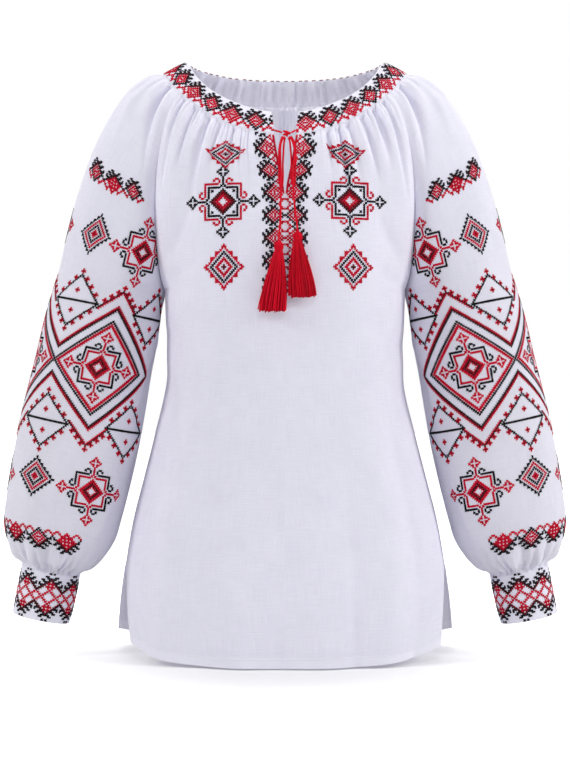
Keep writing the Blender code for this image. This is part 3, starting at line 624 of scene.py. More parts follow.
def torso_point(across, z, facing):
    """A point of the body at height z; facing is -1 on the front and 1 on the back."""
    turn = np.interp(across, ARC_SHARES, ARC_TURNS)
    slit = np.clip((SLIT_TOP_Z - z) / (SLIT_TOP_Z - SIDE_HEM_Z), 0.0, None)
    drawn_in = slit * (SLIT_DRAWN_IN if facing < 0 else 0.0)
    edge_y = slit * (-SLIT_FRONT if facing < 0 else SLIT_BACK)
    half = read(TORSO, 1, z) - drawn_in
    depth = read(TORSO, 2 if facing < 0 else 3, z) - np.abs(edge_y)
    x = half * np.sign(np.sin(turn)) * np.abs(np.sin(turn)) ** SIDE_CURVE
    y = edge_y + facing * depth * np.clip(np.cos(turn), 0, 1) ** SIDE_CURVE
    return vectors(x, y, z)


def seam_share(across, width):
    """1 on a raglan seam, falling to 0 away from it."""
    return 1 - ease(1 - np.abs(across), 0.0, width)


def yoke_columns(angles, ends, arrive, share, facing, down):
    """Columns of cloth from the neck seam to the underarm ring; down runs 0 to 1."""
    start = neck_point(angles, 1.0) + leave_neck(angles) * NECK_SEAM_SHARE
    inward, across, fall = SEAM_ARRIVE
    seam_arrive = vectors(-np.sign(angles) * inward, -facing * across, -fall)
    arrive = arrive + (seam_arrive - arrive) * share[..., None]
    return hermite(start, leave_neck(angles), ends, arrive, down)


def body_grid(across, facing):
    """The grid of a body panel, rows from the neck seam to the hem."""
    if facing < 0:
        slit_angle = opening_angle(1.0)
        side = np.where(np.abs(across) < 1e-9, 0.0, np.abs(across))
        angles = np.sign(across) * (slit_angle + (FRONT_SEAM_ANGLE - slit_angle) * side)
    else:
        angles = np.sign(across + 1e-12) * (180.0 - (180.0 - BACK_SEAM_ANGLE) * np.abs(across))
    ends = torso_point(across, UNDERARM_Z, facing)
    share = seam_share(across, BODY_SEAM_WIDTH)
    rows = []
    for down in YOKE_ROWS:
        row = yoke_columns(angles, ends, np.array(BODY_ARRIVE), share, facing, down)
        if facing < 0:
            row[:, 0] += slit_shift(across, row[:, 0], down)
        rows.append(row)
    for z in BODY_ROWS:
        rows.append(torso_point(across, z, facing))
    hem = read(HEM, 1 if facing < 0 else 2, np.abs(across))
    for down in HEM_ROWS:
        rows.append(torso_point(across, SLIT_TOP_Z + (hem - SLIT_TOP_Z) * down, facing))
    return np.array(rows)


def slit_shift(across, x, down):
    """Draws the front's middle columns to the neck slit's edge, and closes them below it."""
    edge = read(NECK_SLIT, 1, down)
    own = np.abs(x[np.argmin(np.abs(across))])
    return np.sign(across) * (edge - own) * (1 - np.abs(across)) ** 3


# ---- the sleeves ----
def arm_ring(along, turn):
    """A point of the right sleeve: along the arm, turn 0 at the body, 90 front, 180 outside."""
    return arm_point(along, turn, read(SLEEVE, 1, along), read(SLEEVE, 2, along))


def arm_point(along, turn, half, depth):
    """A point round the right arm's axis, from the section's half sizes."""
    angle = np.radians(turn)
    inward = half * np.cos(angle)
    x = -ARM_CENTRE_X - along * math.sin(ARM_TILT) + inward * math.cos(ARM_TILT)
    z = ARM_CENTRE_Z - along * math.cos(ARM_TILT) - inward * math.sin(ARM_TILT)
    y = -ARM_FORWARD * along - depth * np.sin(angle)
    return vectors(x, y, z)


def sleeve_grid(around):
    """The right sleeve: around runs 0 to 1 from the front seam over the shoulder to the back seam."""
    angles = -(FRONT_SEAM_ANGLE + (BACK_SEAM_ANGLE - FRONT_SEAM_ANGLE) * around)
    turns = 360.0 * around
    facing = np.where(around < 0.5, -1.0, 1.0)
    across = np.where(around < 0.5, 1 - 2 * around, 2 * around - 1)
    share = seam_share(across, SLEEVE_SEAM_WIDTH)
    apart = vectors(-UNDERARM_GAP, 0.0, 0.0) * share[:, None]
    ends = arm_ring(0.0, turns) - apart
    arrive = np.array(ARM_WAY) * (0.170 + 0.050 * np.sin(np.pi * around))[:, None]
    rows = [yoke_columns(angles, ends, arrive, share, facing, down) for down in CAP_ROWS]
    rows += [arm_ring(along, turns) - apart * (1 - ease(along, 0.0, 0.030)) for along in ARM_ROWS]
    return np.array(rows)


# ---- grids ----
def unit(way):
    """The same directions with length 1."""
    return way / np.maximum(np.linalg.norm(way, axis=-1, keepdims=True), 1e-12)


def grid_normals(grid, closed_rows=0):
    """Unit normals of a grid; the last closed_rows rows meet round the arm."""
    down = np.gradient(grid, axis=0)
    over = np.gradient(grid, axis=1)
    if closed_rows:
        joint = (grid[-closed_rows:, 1] - grid[-closed_rows:, -2]) / 2
        over[-closed_rows:, 0] = joint
        over[-closed_rows:, -1] = joint
    return unit(np.cross(down, over))


def from_edge(grid, last=False):
    """The distance of each point from the grid's first row, or from its last."""
    rows = grid[::-1] if last else grid
    steps = np.linalg.norm(np.diff(rows, axis=0), axis=-1)
    lengths = np.concatenate([np.zeros((1, grid.shape[1])), np.cumsum(steps, axis=0)])
    return lengths[::-1] if last else lengths


def from_side(grid, last=False):
    """The distance of each point along its row, from the first column or from the last."""
    return np.swapaxes(from_edge(np.swapaxes(grid, 0, 1), last), 0, 1)


def sample(grid, row, column):
    """Points between the grid's own, for fractional rows and columns."""
    row = np.clip(np.asarray(row, float), 0, grid.shape[0] - 1.0001)
    column = np.clip(np.asarray(column, float), 0, grid.shape[1] - 1.0001)
    r = row.astype(int)
    c = column.astype(int)
    a = (row - r)[..., None]
    b = (column - c)[..., None]
    upper = grid[r, c] * (1 - b) + grid[r, c + 1] * b
    lower = grid[r + 1, c] * (1 - b) + grid[r + 1, c + 1] * b
    return upper * (1 - a) + lower * a


def lengths_along(path):
    """How far along the path each of its points lies."""
    return np.concatenate([[0.0], np.cumsum(np.linalg.norm(np.diff(path, axis=0), axis=-1))])


def places_on(path, at):
    """Points of the path, at those lengths along it."""
    length = lengths_along(path)
    return np.stack([np.interp(at, length, path[:, axis]) for axis in range(3)], axis=-1)


def edged(low, high, count, near_high=True):
    """Even places with closer ones at the low end and, if asked, at the high end, for a seam's groove."""
    places = list(np.linspace(low, high, count + 1))
    step = (high - low) / count
    for share in (0.25, 0.55):
        places.append(low + step * share)
        if near_high:
            places.append(high - step * share)
    return np.array(sorted(places))


# ---- creases and hems ----
def ridges(across, distance, folds, period=None, rise=FOLD_RISE):
    """The height of the gathers, for a place across the edge and a distance from it."""
    height = np.zeros_like(distance)
    for at, width, depth, reach in folds:
        off = across - at
        if period:
            off = (off + period / 2) % period - period / 2
        fade = ease(distance, 0.0, rise) * (1 - ease(distance, reach * 0.25, reach))
        height += depth * np.exp(-((off / width) ** 2)) * fade
    return height


def gathers(across, distance, large, edge, period=None):
    """The height of an edge's gathers: the large ones, and its fine ones between them."""
    fine = ridges(across, distance, fine_gathers(edge), period, FINE_RISE)
    return ridges(across, distance, large, period) + fine


def fine_gathers(edge):
    """The small uneven gathers of that edge."""
    folds = []
    for count, low, high, width, depth, reach, seed in FINE_GATHERS[edge]:
        dice = np.random.default_rng(seed)
        step = (high - low) / count
        for at in low + step * (np.arange(count) + 0.5 + dice.normal(0, 0.22, count)):
            folds.append((at, width * dice.uniform(0.7, 1.3), depth * dice.uniform(0.3, 1.2),
                          reach * dice.uniform(0.4, 1.3)))
    return folds


def drape(across, z, folds):
    """Soft upright folds that begin below top_z and grow towards the hem."""
    height = np.zeros(z.shape)
    for at, width, depth, top_z in folds:
        lean = at + DRAPE_LEAN * (top_z - z) * math.copysign(1, at)
        grown_in = ease(-z, -top_z, DRAPE_GROWTH - top_z)
        height += depth * np.exp(-(((across - lean) / width) ** 2)) * grown_in
    return height


def pulls(flat, table):
    """Creases along straight runs in a panel's flat coordinates."""
    height = np.zeros(flat.shape[:-1])
    for u0, v0, u1, v1, width, depth in table:
        start = np.array([u0, v0])
        way = np.array([u1 - u0, v1 - v0])
        t = np.clip(((flat - start) @ way) / (way @ way), 0, 1)
        off = np.linalg.norm(flat - start - t[..., None] * way, axis=-1)
        height += depth * np.exp(-((off / width) ** 2)) * ease(t, 0.0, 0.25) * (1 - ease(t, 0.45, 1.0))
    return height


def body_pulls(grid, sign, shift):
    """The pulls of the right side (-1) or the left (1), moved up or down by the shift."""
    return pulls(grid[..., [0, 2]] * (sign, 1) + (0.0, shift * sign), BODY_PULLS)


def seam_groove(side):
    """A seam draws the cloth in by its edge."""
    return -GROOVE_DEPTH * np.exp(-((side / GROOVE_WIDTH) ** 2))


# ---- the linen's grids ----
def hem_plies(grid, side):
    """The step of the turned hem, and of the narrow hems beside the slits."""
    hem = 1 - ease(from_edge(grid, last=True), HEM_DEEP - HEM_SOFT, HEM_DEEP + HEM_SOFT)
    narrow = 1 - ease(side, SLIT_HEM_DEEP - HEM_SOFT, SLIT_HEM_DEEP + HEM_SOFT)
    slit = (1 - ease(grid[..., 2], SLIT_TOP_Z - 0.003, SLIT_TOP_Z)) * narrow
    return PLY * np.maximum(hem, slit)


def front_half(sign):
    """The front's right half (-1) or left half (1); the two meet below the neck slit."""
    across = edged(-1.0, -1e-7, HALF_FRONT_COLUMNS, near_high=False)
    grid = body_grid(across, -1)
    side = from_side(grid)
    if sign > 0:
        grid, side, across = mirrored(grid), side[:, ::-1], -across[::-1]
    neck = from_edge(grid)
    height = ridges(across, neck, FRONT_FOLDS)
    fine = ridges(across, neck, fine_gathers("front"), rise=FINE_RISE)
    height += fine * ease(np.abs(across), 0.14, 0.24)
    height += drape(across, grid[..., 2], FRONT_DRAPE)
    height += body_pulls(grid, sign, 0.004) + hem_plies(grid, side) + seam_groove(side)
    grid = grid + grid_normals(grid) * height[..., None]
    below = len([row for row in YOKE_ROWS if row < NECK_SLIT[-1][0]])
    grid[below:, -1 if sign < 0 else 0, 0] = 0.0
    return grid


def back_panel():
    """The back, from the wearer's left to right, so that it faces out."""
    across = edged(-1.0, 1.0, BACK_COLUMNS)
    grid = body_grid(across, 1)
    side = np.minimum(from_side(grid), from_side(grid, last=True))
    height = gathers(across, from_edge(grid), BACK_FOLDS, "back")
    height += drape(across, grid[..., 2], BACK_DRAPE)
    for sign in (-1, 1):
        height += body_pulls(grid, sign, 0.006)
    height += hem_plies(grid, side) + seam_groove(side)
    return (grid - grid_normals(grid) * height[..., None])[:, ::-1]


def right_sleeve():
    """The right sleeve's grid, and the place round the sleeve of each of its columns."""
    around = edged(0.0, 1.0, SLEEVE_COLUMNS)
    grid = sleeve_grid(around)
    closed = len(ARM_ROWS) + 1
    neck = from_edge(grid)
    cuff = from_edge(grid, last=True)
    height = gathers(around, neck, CAP_FOLDS, "cap")
    height += gathers(around, cuff, CUFF_FOLDS, "cuff", period=1.0)
    fade = ease(neck, 0.02, 0.06) * ease(cuff, 0.01, 0.04)
    height += pulls(sleeve_chart(grid, around), SLEEVE_PULLS) * fade
    height += seam_groove(np.minimum(from_side(grid), from_side(grid, last=True)))
    grid = grid - grid_normals(grid, closed) * height[..., None]
    grid[-closed:, -1] = grid[-closed:, 0]
    return grid, around


def top_places(grid, around):
    """For each row, the fractional column of the sleeve's top line, and the length down to it."""
    lines = np.array(TOP_LINE)
    columns, down, before = [], [], None
    for row in range(grid.shape[0]):
        length = down[-1] if down else 0.0
        column = np.interp(np.interp(length, lines[:, 0], lines[:, 1]), around, np.arange(len(around)))
        here = sample(grid, row, column)
        down.append(length + (0.0 if before is None else np.linalg.norm(here - before)))
        columns.append(column)
        before = here
    return np.array(columns), np.array(down)


def sleeve_chart(grid, around):
    """Across from the top line and down from the neck seam, for each point of the grid."""
    columns, down = top_places(grid, around)
    arc = from_side(grid)
    middle = [np.interp(column, np.arange(arc.shape[1]), row) for column, row in zip(columns, arc)]
    across = arc - np.array(middle)[:, None]
    return np.stack([across, np.broadcast_to(down[:, None], across.shape)], axis=-1)


def band_relief(arc, angles, shares):
    """How far the band stands out: its padding, and its puckers behind the neck."""
    dice = np.random.default_rng(3)
    wave = np.zeros(len(arc))
    for pitch in PUCKER_PITCHES:
        wave += np.sin(2 * math.pi * arc / pitch + dice.uniform(0, 6)) / len(PUCKER_PITCHES)
    puckers = PUCKER_DEPTH * wave * ease(np.abs(180.0 - angles), 105.0, 70.0)
    across = np.sin(math.pi * shares)[:, None]
    return puckers[None, :] * (0.45 + 0.55 * across) + BAND_PADDING * across ** 0.7


def band_grid():
    """The band round the neck, open at the slit, and whether its grid faces out (1) or in (-1)."""
    first = opening_angle(0.5)
    turns = np.linspace(first, 360.0 - first, 1441)
    length = lengths_along(neck_point(signed(turns), 0.5))
    even = np.interp(np.linspace(0, length[-1], BAND_COLUMNS), length, turns)
    shares = np.linspace(0.0, 1.0, BAND_ROWS)
    rows = []
    for down in shares:
        edge = opening_angle(down)
        spread = edge + (even - even[0]) / (even[-1] - even[0]) * (360.0 - 2 * edge)
        rows.append(neck_point(signed(spread), down))
    grid = np.array(rows)
    height = band_relief(from_side(grid)[BAND_ROWS // 2], even, shares)
    normal = grid_normals(grid)
    outward = np.sign(np.sum(normal * grid * (1, 1, 0), axis=-1, keepdims=True))
    return grid + normal * outward * height[..., None], outward[0, 0, 0]


def cuff_grid():
    """The right cuff, turn 0 at the body."""
    turns = np.linspace(0.0, 360.0, CUFF_COLUMNS)
    rows = []
    for share in np.linspace(0.0, 1.0, CUFF_ROWS):
        taper = CUFF_TAPER * share - CUFF_PADDING * math.sin(math.pi * share) ** 0.7
        along = CUFF_TOP + CUFF_LENGTH * share
        rows.append(arm_point(along, turns, CUFF_HALF_WIDTH - taper, CUFF_HALF_DEPTH - taper))
    return np.array(rows)


def mirrored(grid):
    """The same grid on the wearer's other side, with its columns turned so that it still faces out."""
    return (grid * (-1, 1, 1))[:, ::-1]


# ---- Blender objects ----
def add_object(name, data):
    """Puts a mesh in the scene."""
    made = bpy.data.objects.new(name, data)
    bpy.context.scene.collection.objects.link(made)
    return made


def quads_of(grid, first):
    """The corners of the grid's quads, if its own first point has that number."""
    rows, columns = grid.shape[:2]
    index = first + np.arange(rows * columns).reshape(rows, columns)
    corners = [index[:-1, :-1], index[1:, :-1], index[1:, 1:], index[:-1, 1:]]
    return np.stack(corners, axis=-1).reshape(-1, 4)


def weave_map(grid):
    """Across and down in metres, for each point of the grid."""
    middle = grid.shape[1] // 2
    arc = from_side(grid)
    across = arc - arc[:, middle][:, None] + grid[grid.shape[0] // 2, 0, 0]
    return vectors(across, from_edge(grid)[:, middle][:, None], 0.0)[..., :2].reshape(-1, 2)


def grid_mesh(name, grids, flipped, hem):
    """Quads through the grids, with a weave map in metres, and a mark on the turned hem."""
    points, faces, weave, turned, first = [], [], [], [], 0
    for grid in grids:
        quads = quads_of(grid, 0)[:, ::-1 if flipped else 1]
        weave.append(weave_map(grid)[quads.reshape(-1)])
        faces.append(quads + first)
        points.append(grid.reshape(-1, 3))
        turned.append(np.ravel(from_edge(grid, last=True) < hem))
        first += len(points[-1])
    mesh = bpy.data.meshes.new(name)
    mesh.from_pydata(np.concatenate(points).tolist(), [], np.concatenate(faces).tolist())
    mesh.uv_layers.new(name="weave").data.foreach_set("uv", np.concatenate(weave).ravel())
    point_values(mesh, "turned", np.concatenate(turned))
    shell = bmesh.new()
    shell.from_mesh(mesh)
    bmesh.ops.remove_doubles(shell, verts=shell.verts, dist=0.00001)
    shell.to_mesh(mesh)
    shell.free()
    return mesh


def evaluated(made):
    """The mesh that the object's modifiers make; the object itself goes."""
    seen = bpy.context.evaluated_depsgraph_get()
    mesh = bpy.data.meshes.new_from_object(made.evaluated_get(seen), depsgraph=seen)
    bpy.data.objects.remove(made)
    return mesh


def cloth(name, grids, thickness, surface, flipped=False, hem=0.0):
    """A thin closed wall of cloth through the grids, shaded smooth but for its rims."""
    seed = add_object(name + "_seed", grid_mesh(name, grids, flipped, hem))
    seed.data.materials.append(surface)
    wall = seed.modifiers.new("wall", "SOLIDIFY")
    wall.thickness = thickness
    wall.offset = 0.0
    wall.use_even_offset = True
    mesh = evaluated(seed)
    mesh.polygons.foreach_set("use_smooth", np.ones(len(mesh.polygons), bool))
    mesh.set_sharp_from_angle(angle=math.radians(55))
    mesh.name = name
    return add_object(name, mesh)


# ---- nodes ----
class Wire:
    """A number or a vector in a node tree; arithmetic on it adds Math nodes."""

    def __init__(self, nodes, socket):
        self.nodes = nodes
        self.socket = socket

    def maths(self, operation, first, second):
        return self.nodes.add("ShaderNodeMath", {"operation": operation}, {0: first, 1: second})

    def __add__(self, other):
        return self.maths("ADD", self, other)

    __radd__ = __add__

    def __sub__(self, other):
        return self.maths("SUBTRACT", self, other)

    def __rsub__(self, other):
        return self.maths("SUBTRACT", other, self)

    def __mul__(self, other):
        return self.maths("MULTIPLY", self, other)

    __rmul__ = __mul__


class Nodes:
    """Adds nodes to one tree, for a material or for a shape."""

    def __init__(self, tree):
        self.tree = tree

    def add(self, kind, settings=None, values=None, output=0):
        """One node: its type, its settings, then the values or links of its sockets."""
        node = self.tree.nodes.new(kind)
        for name, setting in (settings or {}).items():
            setattr(node, name, setting)
        for name, value in (values or {}).items():
            for one in value if isinstance(value, list) else [value]:
                if isinstance(one, Wire):
                    self.tree.links.new(one.socket, node.inputs[name])
                else:
                    node.inputs[name].default_value = one
        return Wire(self, node.outputs[output])


# ---- materials ----
def noise(nodes, where, scale, detail=2.0):
    """Noise from 0 to 1, stretched by a scale for each axis."""
    spread = nodes.add("ShaderNodeVectorMath", {"operation": "MULTIPLY"}, {0: where, 1: scale})
    return nodes.add("ShaderNodeTexNoise", {"noise_dimensions": "3D"},
                     {"Vector": spread, "Scale": 1.0, "Detail": detail})


def blend(nodes, share, first, second):
    """A colour between two, by the share."""
    return nodes.add("ShaderNodeMix", {"data_type": "RGBA"},
                     {0: share, 6: (*first, 1.0), 7: (*second, 1.0)}, output=2)


def finish_material(nodes, colour, roughness, height, depth, constants):
    """Joins the colour, the roughness and the relief to the surface's shader."""
    shader = nodes.tree.nodes["Principled BSDF"]
    relief = nodes.add("ShaderNodeBump", {}, {"Strength": 1.0, "Distance": depth, "Height": height})
    for socket, wire in (("Base Color", colour), ("Roughness", roughness), ("Normal", relief)):
        nodes.tree.links.new(wire.socket, shader.inputs[socket])
    for socket, value in constants.items():
        shader.inputs[socket].default_value = value


def new_material(name):
    """An empty material and its nodes."""
    made = bpy.data.materials.new(name)
    made.use_nodes = True
    return made, Nodes(made.node_tree)


def linen_material(name, weave_depth):
    """Plain-woven linen: thick and thin threads both ways, over soft mottling."""
    made, nodes = new_material(name)
    where = nodes.add("ShaderNodeUVMap", {"uv_map": "weave"})
    warp = noise(nodes, where, (1150.0, 36.0, 1.0))
    weft = noise(nodes, where, (42.0, 1100.0, 1.0))
    mottle = noise(nodes, where, (26.0, 19.0, 1.0), 3.0)
    threads = warp * 0.5 + weft * 0.5
    turned = nodes.add("ShaderNodeAttribute", {"attribute_name": "turned"}, output=2)
    tone = threads * 2.0 + mottle * 0.7 + turned * 0.6 - 0.85
    colour = blend(nodes, tone, *LINEN_TONES)
    height = threads * 1.4
    finish_material(nodes, colour, 0.92 - threads * 0.22, height, weave_depth,
                    {"Specular IOR Level": 0.25, "Subsurface Weight": 0.5,
                     "Subsurface Radius": (1.0, 1.0, 1.0), "Subsurface Scale": 0.0080})
    return made


def thread_material(name):
    """One thread of the table, whose pieces differ a little in tone."""
    kind, dark, light = THREAD_LOOKS[name]
    made, nodes = new_material(name)
    where = nodes.add("ShaderNodeTexCoord", output=3)
    tone = nodes.add("ShaderNodeAttribute", {"attribute_name": "tone"}, output=2)
    patch = noise(nodes, where, (kind["patch"],) * 3)
    fibre = noise(nodes, where, kind["fibre"], kind["detail"])
    colour = blend(nodes, tone * kind["by_tone"] + patch * kind["by_patch"] - 0.1, dark, light)
    finish_material(nodes, colour, kind["rough"] + fibre * 0.3, fibre, kind["relief"],
                    {"Specular IOR Level": kind["shine"]})
    return made


# ---- trees that grow small parts ----
def new_tree(name, numbers):
    """A Geometry Nodes tree with its named numbers and its thread: its nodes, and each input's wire."""
    tree = bpy.data.node_groups.new(name, "GeometryNodeTree")
    tree.interface.new_socket("Geometry", in_out="INPUT", socket_type="NodeSocketGeometry")
    for label in numbers:
        tree.interface.new_socket(label, in_out="INPUT", socket_type="NodeSocketFloat")
    tree.interface.new_socket("Thread", in_out="INPUT", socket_type="NodeSocketMaterial")
    tree.interface.new_socket("Geometry", in_out="OUTPUT", socket_type="NodeSocketGeometry")
    nodes = Nodes(tree)
    entry = tree.nodes.new("NodeGroupInput")
    wires = {socket.name: Wire(nodes, socket) for socket in entry.outputs if socket.name}
    return nodes, wires


def end_tree(nodes, shape, surface):
    """Realizes the instances, sets their material and ends the tree."""
    real = nodes.add("GeometryNodeRealizeInstances", {}, {0: shape})
    painted = nodes.add("GeometryNodeSetMaterial", {}, {"Geometry": real, "Material": surface})
    last = nodes.tree.nodes.new("NodeGroupOutput")
    nodes.tree.links.new(painted.socket, last.inputs[0])
    return nodes.tree


def profile(nodes, sides, radius):
    """The outline of a thread."""
    return nodes.add("GeometryNodeCurvePrimitiveCircle", {"mode": "RADIUS"},
                     {"Resolution": sides, "Radius": radius})


def straight(nodes, low, high, outline):
    """A straight thread between two points."""
    run = nodes.add("GeometryNodeCurvePrimitiveLine", {}, {"Start": low, "End": high})
    return nodes.add("GeometryNodeCurveToMesh", {},
                     {"Curve": run, "Profile Curve": outline, "Fill Caps": True})


def own_value(nodes, name, kind):
    """The value that each point has by that name."""
    return nodes.add("GeometryNodeInputNamedAttribute", {"data_type": kind}, {"Name": name})


def on_points(nodes, wires, shape):
    """Puts the shape on each point, by the point's turn and size, and ends the tree."""
    turn = own_value(nodes, "turn", "QUATERNION")
    size = own_value(nodes, "size", "FLOAT_VECTOR")
    placed = nodes.add("GeometryNodeInstanceOnPoints", {},
                       {"Points": wires["Geometry"], "Instance": shape, "Rotation": turn, "Scale": size})
    return end_tree(nodes, placed, wires["Thread"])


def stitch_tree():
    """Puts a cross stitch on each point: two crossed threads, the upper one over the lower."""
    nodes, wires = new_tree("cross_stitches", ("Leg", "Thread Radius", "Rise"))
    outline = profile(nodes, 3, wires["Thread Radius"])
    legs = []
    for sign in (-1.0, 1.0):
        low = nodes.add("ShaderNodeCombineXYZ", {}, {"X": wires["Leg"] * -sign, "Y": wires["Leg"] * -1.0,
                                                     "Z": wires["Rise"] * (0.5 + 0.5 * sign)})
        high = nodes.add("ShaderNodeCombineXYZ", {}, {"X": wires["Leg"] * sign, "Y": wires["Leg"] * 1.0,
                                                      "Z": wires["Rise"] * (0.5 + 0.5 * sign)})
        legs.append(straight(nodes, low, high, outline))
    return on_points(nodes, wires, nodes.add("GeometryNodeJoinGeometry", {}, {0: legs}))


def running_tree():
    """Puts one short thread on each point, along the stitching line."""
    nodes, wires = new_tree("running_stitches", ("Half Length", "Thread Radius"))
    outline = profile(nodes, 4, wires["Thread Radius"])
    low = nodes.add("ShaderNodeCombineXYZ", {}, {"X": wires["Half Length"] * -1.0})
    high = nodes.add("ShaderNodeCombineXYZ", {}, {"X": wires["Half Length"] * 1.0})
    return on_points(nodes, wires, straight(nodes, low, high, outline))


def strand_tree():
    """Gives each line of edges its thread, as thick as the points say."""
    nodes, wires = new_tree("strands", ())
    outline = profile(nodes, STRAND_SIDES, 1.0)
    lines = nodes.add("GeometryNodeMeshToCurve", {}, {0: wires["Geometry"]})
    thick = own_value(nodes, "thick", "FLOAT")
    sized = nodes.add("GeometryNodeSetCurveRadius", {}, {"Curve": lines, "Radius": thick})
    swept = nodes.add("GeometryNodeCurveToMesh", {},
                      {"Curve": sized, "Profile Curve": outline, "Scale": thick, "Fill Caps": True})
    return end_tree(nodes, swept, wires["Thread"])


def grown(name, mesh, tree, values):
    """The mesh that the tree makes from this one."""
    seed = add_object(name + "_seed", mesh)
    grow = seed.modifiers.new("grow", "NODES")
    grow.node_group = tree
    for socket in tree.interface.items_tree:
        if socket.in_out == "INPUT" and socket.name in values:
            grow[socket.identifier] = values[socket.name]
    made = evaluated(seed)
    made.name = name
    return add_object(name, made)


def point_values(mesh, name, values, kind="FLOAT", label="value"):
    """Gives each point of the mesh its value by that name."""
    mesh.attributes.new(name, kind, "POINT").data.foreach_set(label, np.ravel(values).astype(float))


def point_mesh(name, points, turns, sizes, tones):
    """Loose points with their turn, size and tone."""
    mesh = bpy.data.meshes.new(name)
    mesh.from_pydata(points.tolist(), [], [])
    point_values(mesh, "turn", turns, "QUATERNION")
    point_values(mesh, "size", sizes, "FLOAT_VECTOR", "vector")
    point_values(mesh, "tone", tones)
    return mesh


# ---- charts of the motifs: a cell's column and row, and its thread ----
QUARTERS = ((-1, -1), (-1, 1), (1, -1), (1, 1))


def symmetric(octant):
    """The octant's cells with all their mirror images."""
    cells = {}
    for (c, r), thread in octant.items():
        for a, b in ((c, r), (r, c)):
            for s, t in QUARTERS:
                cells[(s * a, t * b)] = thread
    return cells


def runs(*corners):
    """The cells along straight runs between the corners."""
    cells = []
    for (c0, r0), (c1, r1) in zip(corners, corners[1:]):
        steps = max(abs(c1 - c0), abs(r1 - r0), 1)
        for k in range(steps + 1):
            cells.append((round(c0 + (c1 - c0) * k / steps), round(r0 + (r1 - r0) * k / steps)))
    return cells


def rings(threads):
    """Nested diamonds, for each ring's size its thread."""
    cells = {}
    for ring, thread in threads.items():
        for c in range(-ring, ring + 1):
            for r in (ring - abs(c), abs(c) - ring):
                cells[(c, r)] = thread
    return cells


def moved(cells, across, down):
    """The same cells about another place."""
    return {(c + across, r + down): thread for (c, r), thread in cells.items()}


FLOWER = {(0, 0): "dark", (1, 0): "red", (-1, 0): "red", (0, 1): "red", (0, -1): "red"}


def star(frame_thread, hook_thread, heart, dots):
    """An eight-sided star with four tipped stems and curled hooks."""
    hook = runs((10, 10), (3, 10), (2, 11), (2, 12), (3, 13), (4, 13), (5, 12))
    octant = {cell: hook_thread for cell in hook}
    octant.update({cell: frame_thread for cell in runs((0, 10), (2, 8), (8, 8)) + runs((0, 10), (0, 14))})
    for c in range(4):
        for r in (c - 3, 3 - c):
            octant[(c, 17 + r)] = frame_thread
    octant[(1, 16)] = octant[(1, 18)] = frame_thread
    if dots:
        octant[(6, 6)] = "black"
    cells = symmetric(octant)
    cells.update(rings(heart))
    return cells


def chest_diamond():
    """A knobbed red diamond, then a black one, then a red flower."""
    octant = {(4, 8): "red", (5, 8): "red", (5, 7): "red", (0, 12): "red", (1, 11): "red"}
    cells = symmetric(octant)
    cells.update(rings({11: "red", 8: "black", 5: "red", 4: "red", 1: "dark", 0: "black"}))
    return cells


def sleeve_diamond():
    """A toothed black diamond, then a red one, then a black one with a red heart."""
    cells = symmetric({(j, 12 - j): "black" for j in range(0, 13, 2)})
    cells.update(rings({11: "black", 8: "red", 5: "black", 2: "red", 1: "red", 0: "dark"}))
    return cells


def notch_diamond():
    """A thin black diamond with a bar across it and flowers round it."""
    cells = {}
    for step in (0, 4, 8, 12):
        for s, t in QUARTERS:
            cells.update(moved(FLOWER, s * step, t * (17 - step)))
    for t in (-6, 6):
        cells.update(moved(FLOWER, 0, t))
    cells.update(rings({15: "black"}))
    cells.update({(c, 0): "black" for c in range(-15, 16)})
    return cells


def rhomb_ring(c, r):
    """How many steps the cell lies from the centre of the nearer great rhomb."""
    return min(abs(c - RHOMB_CENTRE), abs(c + RHOMB_CENTRE)) + abs(r)


def great_rhombs():
    """Two great rhombs side by side with a star in each, and the notched diamonds about them."""
    cells = {}
    for c0, r0 in ((0, -35), (0, 35), (52, -33), (-52, -33), (52, 33), (-52, 33)):
        outer = moved(notch_diamond(), c0, r0)
        cells.update({cell: thread for cell, thread in outer.items() if rhomb_ring(*cell) > 38})
    for s, t in QUARTERS:
        for step in (9, 6, 3, 0):
            for side in (-1, 1):
                cells.update(moved(FLOWER, s * RHOMB_CENTRE + side * step, t * (47 - step)))
    for c in range(-66, 67):
        for r in range(-46, 47):
            ring = rhomb_ring(c, r)
            if ring in RHOMB_LINES:
                cells[(c, r)] = RHOMB_LINES[ring]
            elif ring in (44, 45) and abs(r) >= 33 and (c, r) not in cells:
                cells[(c, r)] = "black" if ring == 45 else "red"
    for s in (-1, 1):
        cells.update(moved(star("red", "black", SLEEVE_HEART, False), s * RHOMB_CENTRE, 0))
    return cells


def tooth(k, level, half):
    """Whether a slanted tooth above a roof covers the cell, so many levels over it."""
    if abs(k) >= half:
        return False
    return (level in (1, 4) and k % 2 == 1) or (level in (2, 3) and k % 2 == 0 and k != 0)


def border_thread(k, r, half, odd, airy):
    """The thread of a border's cell, k from the middle of its diamond; the roof's top is at r -6."""
    up, under, gap = abs(k) - r, abs(k) + r, 2 * half - 5
    if up > 6:
        return "black" if tooth(k, up - 6, half) else None
    if up == 6:
        return "black"
    if under > 5:
        return "red" if under == gap or (up == 0 and under < gap) else None
    if under == 5:
        return "black" if odd else "red"
    if up == 5:
        return "dark"
    if (odd or airy) and abs(k) + abs(r) > 1:
        return "red" if (k + r) % 2 else None
    return "red" if k % 2 or r % 2 == 0 else None


def border(columns, period, first, airy=False):
    """Checked diamonds under toothed roofs, with a lattice between them; r runs down from -8 to 5."""
    cells = {}
    for c in columns:
        number, k = divmod(c - first + period // 2, period)
        for r in range(-8, 6):
            thread = border_thread(k - period // 2, r, period // 2, number % 2, airy)
            if thread:
                cells[(c, r)] = thread
    return cells


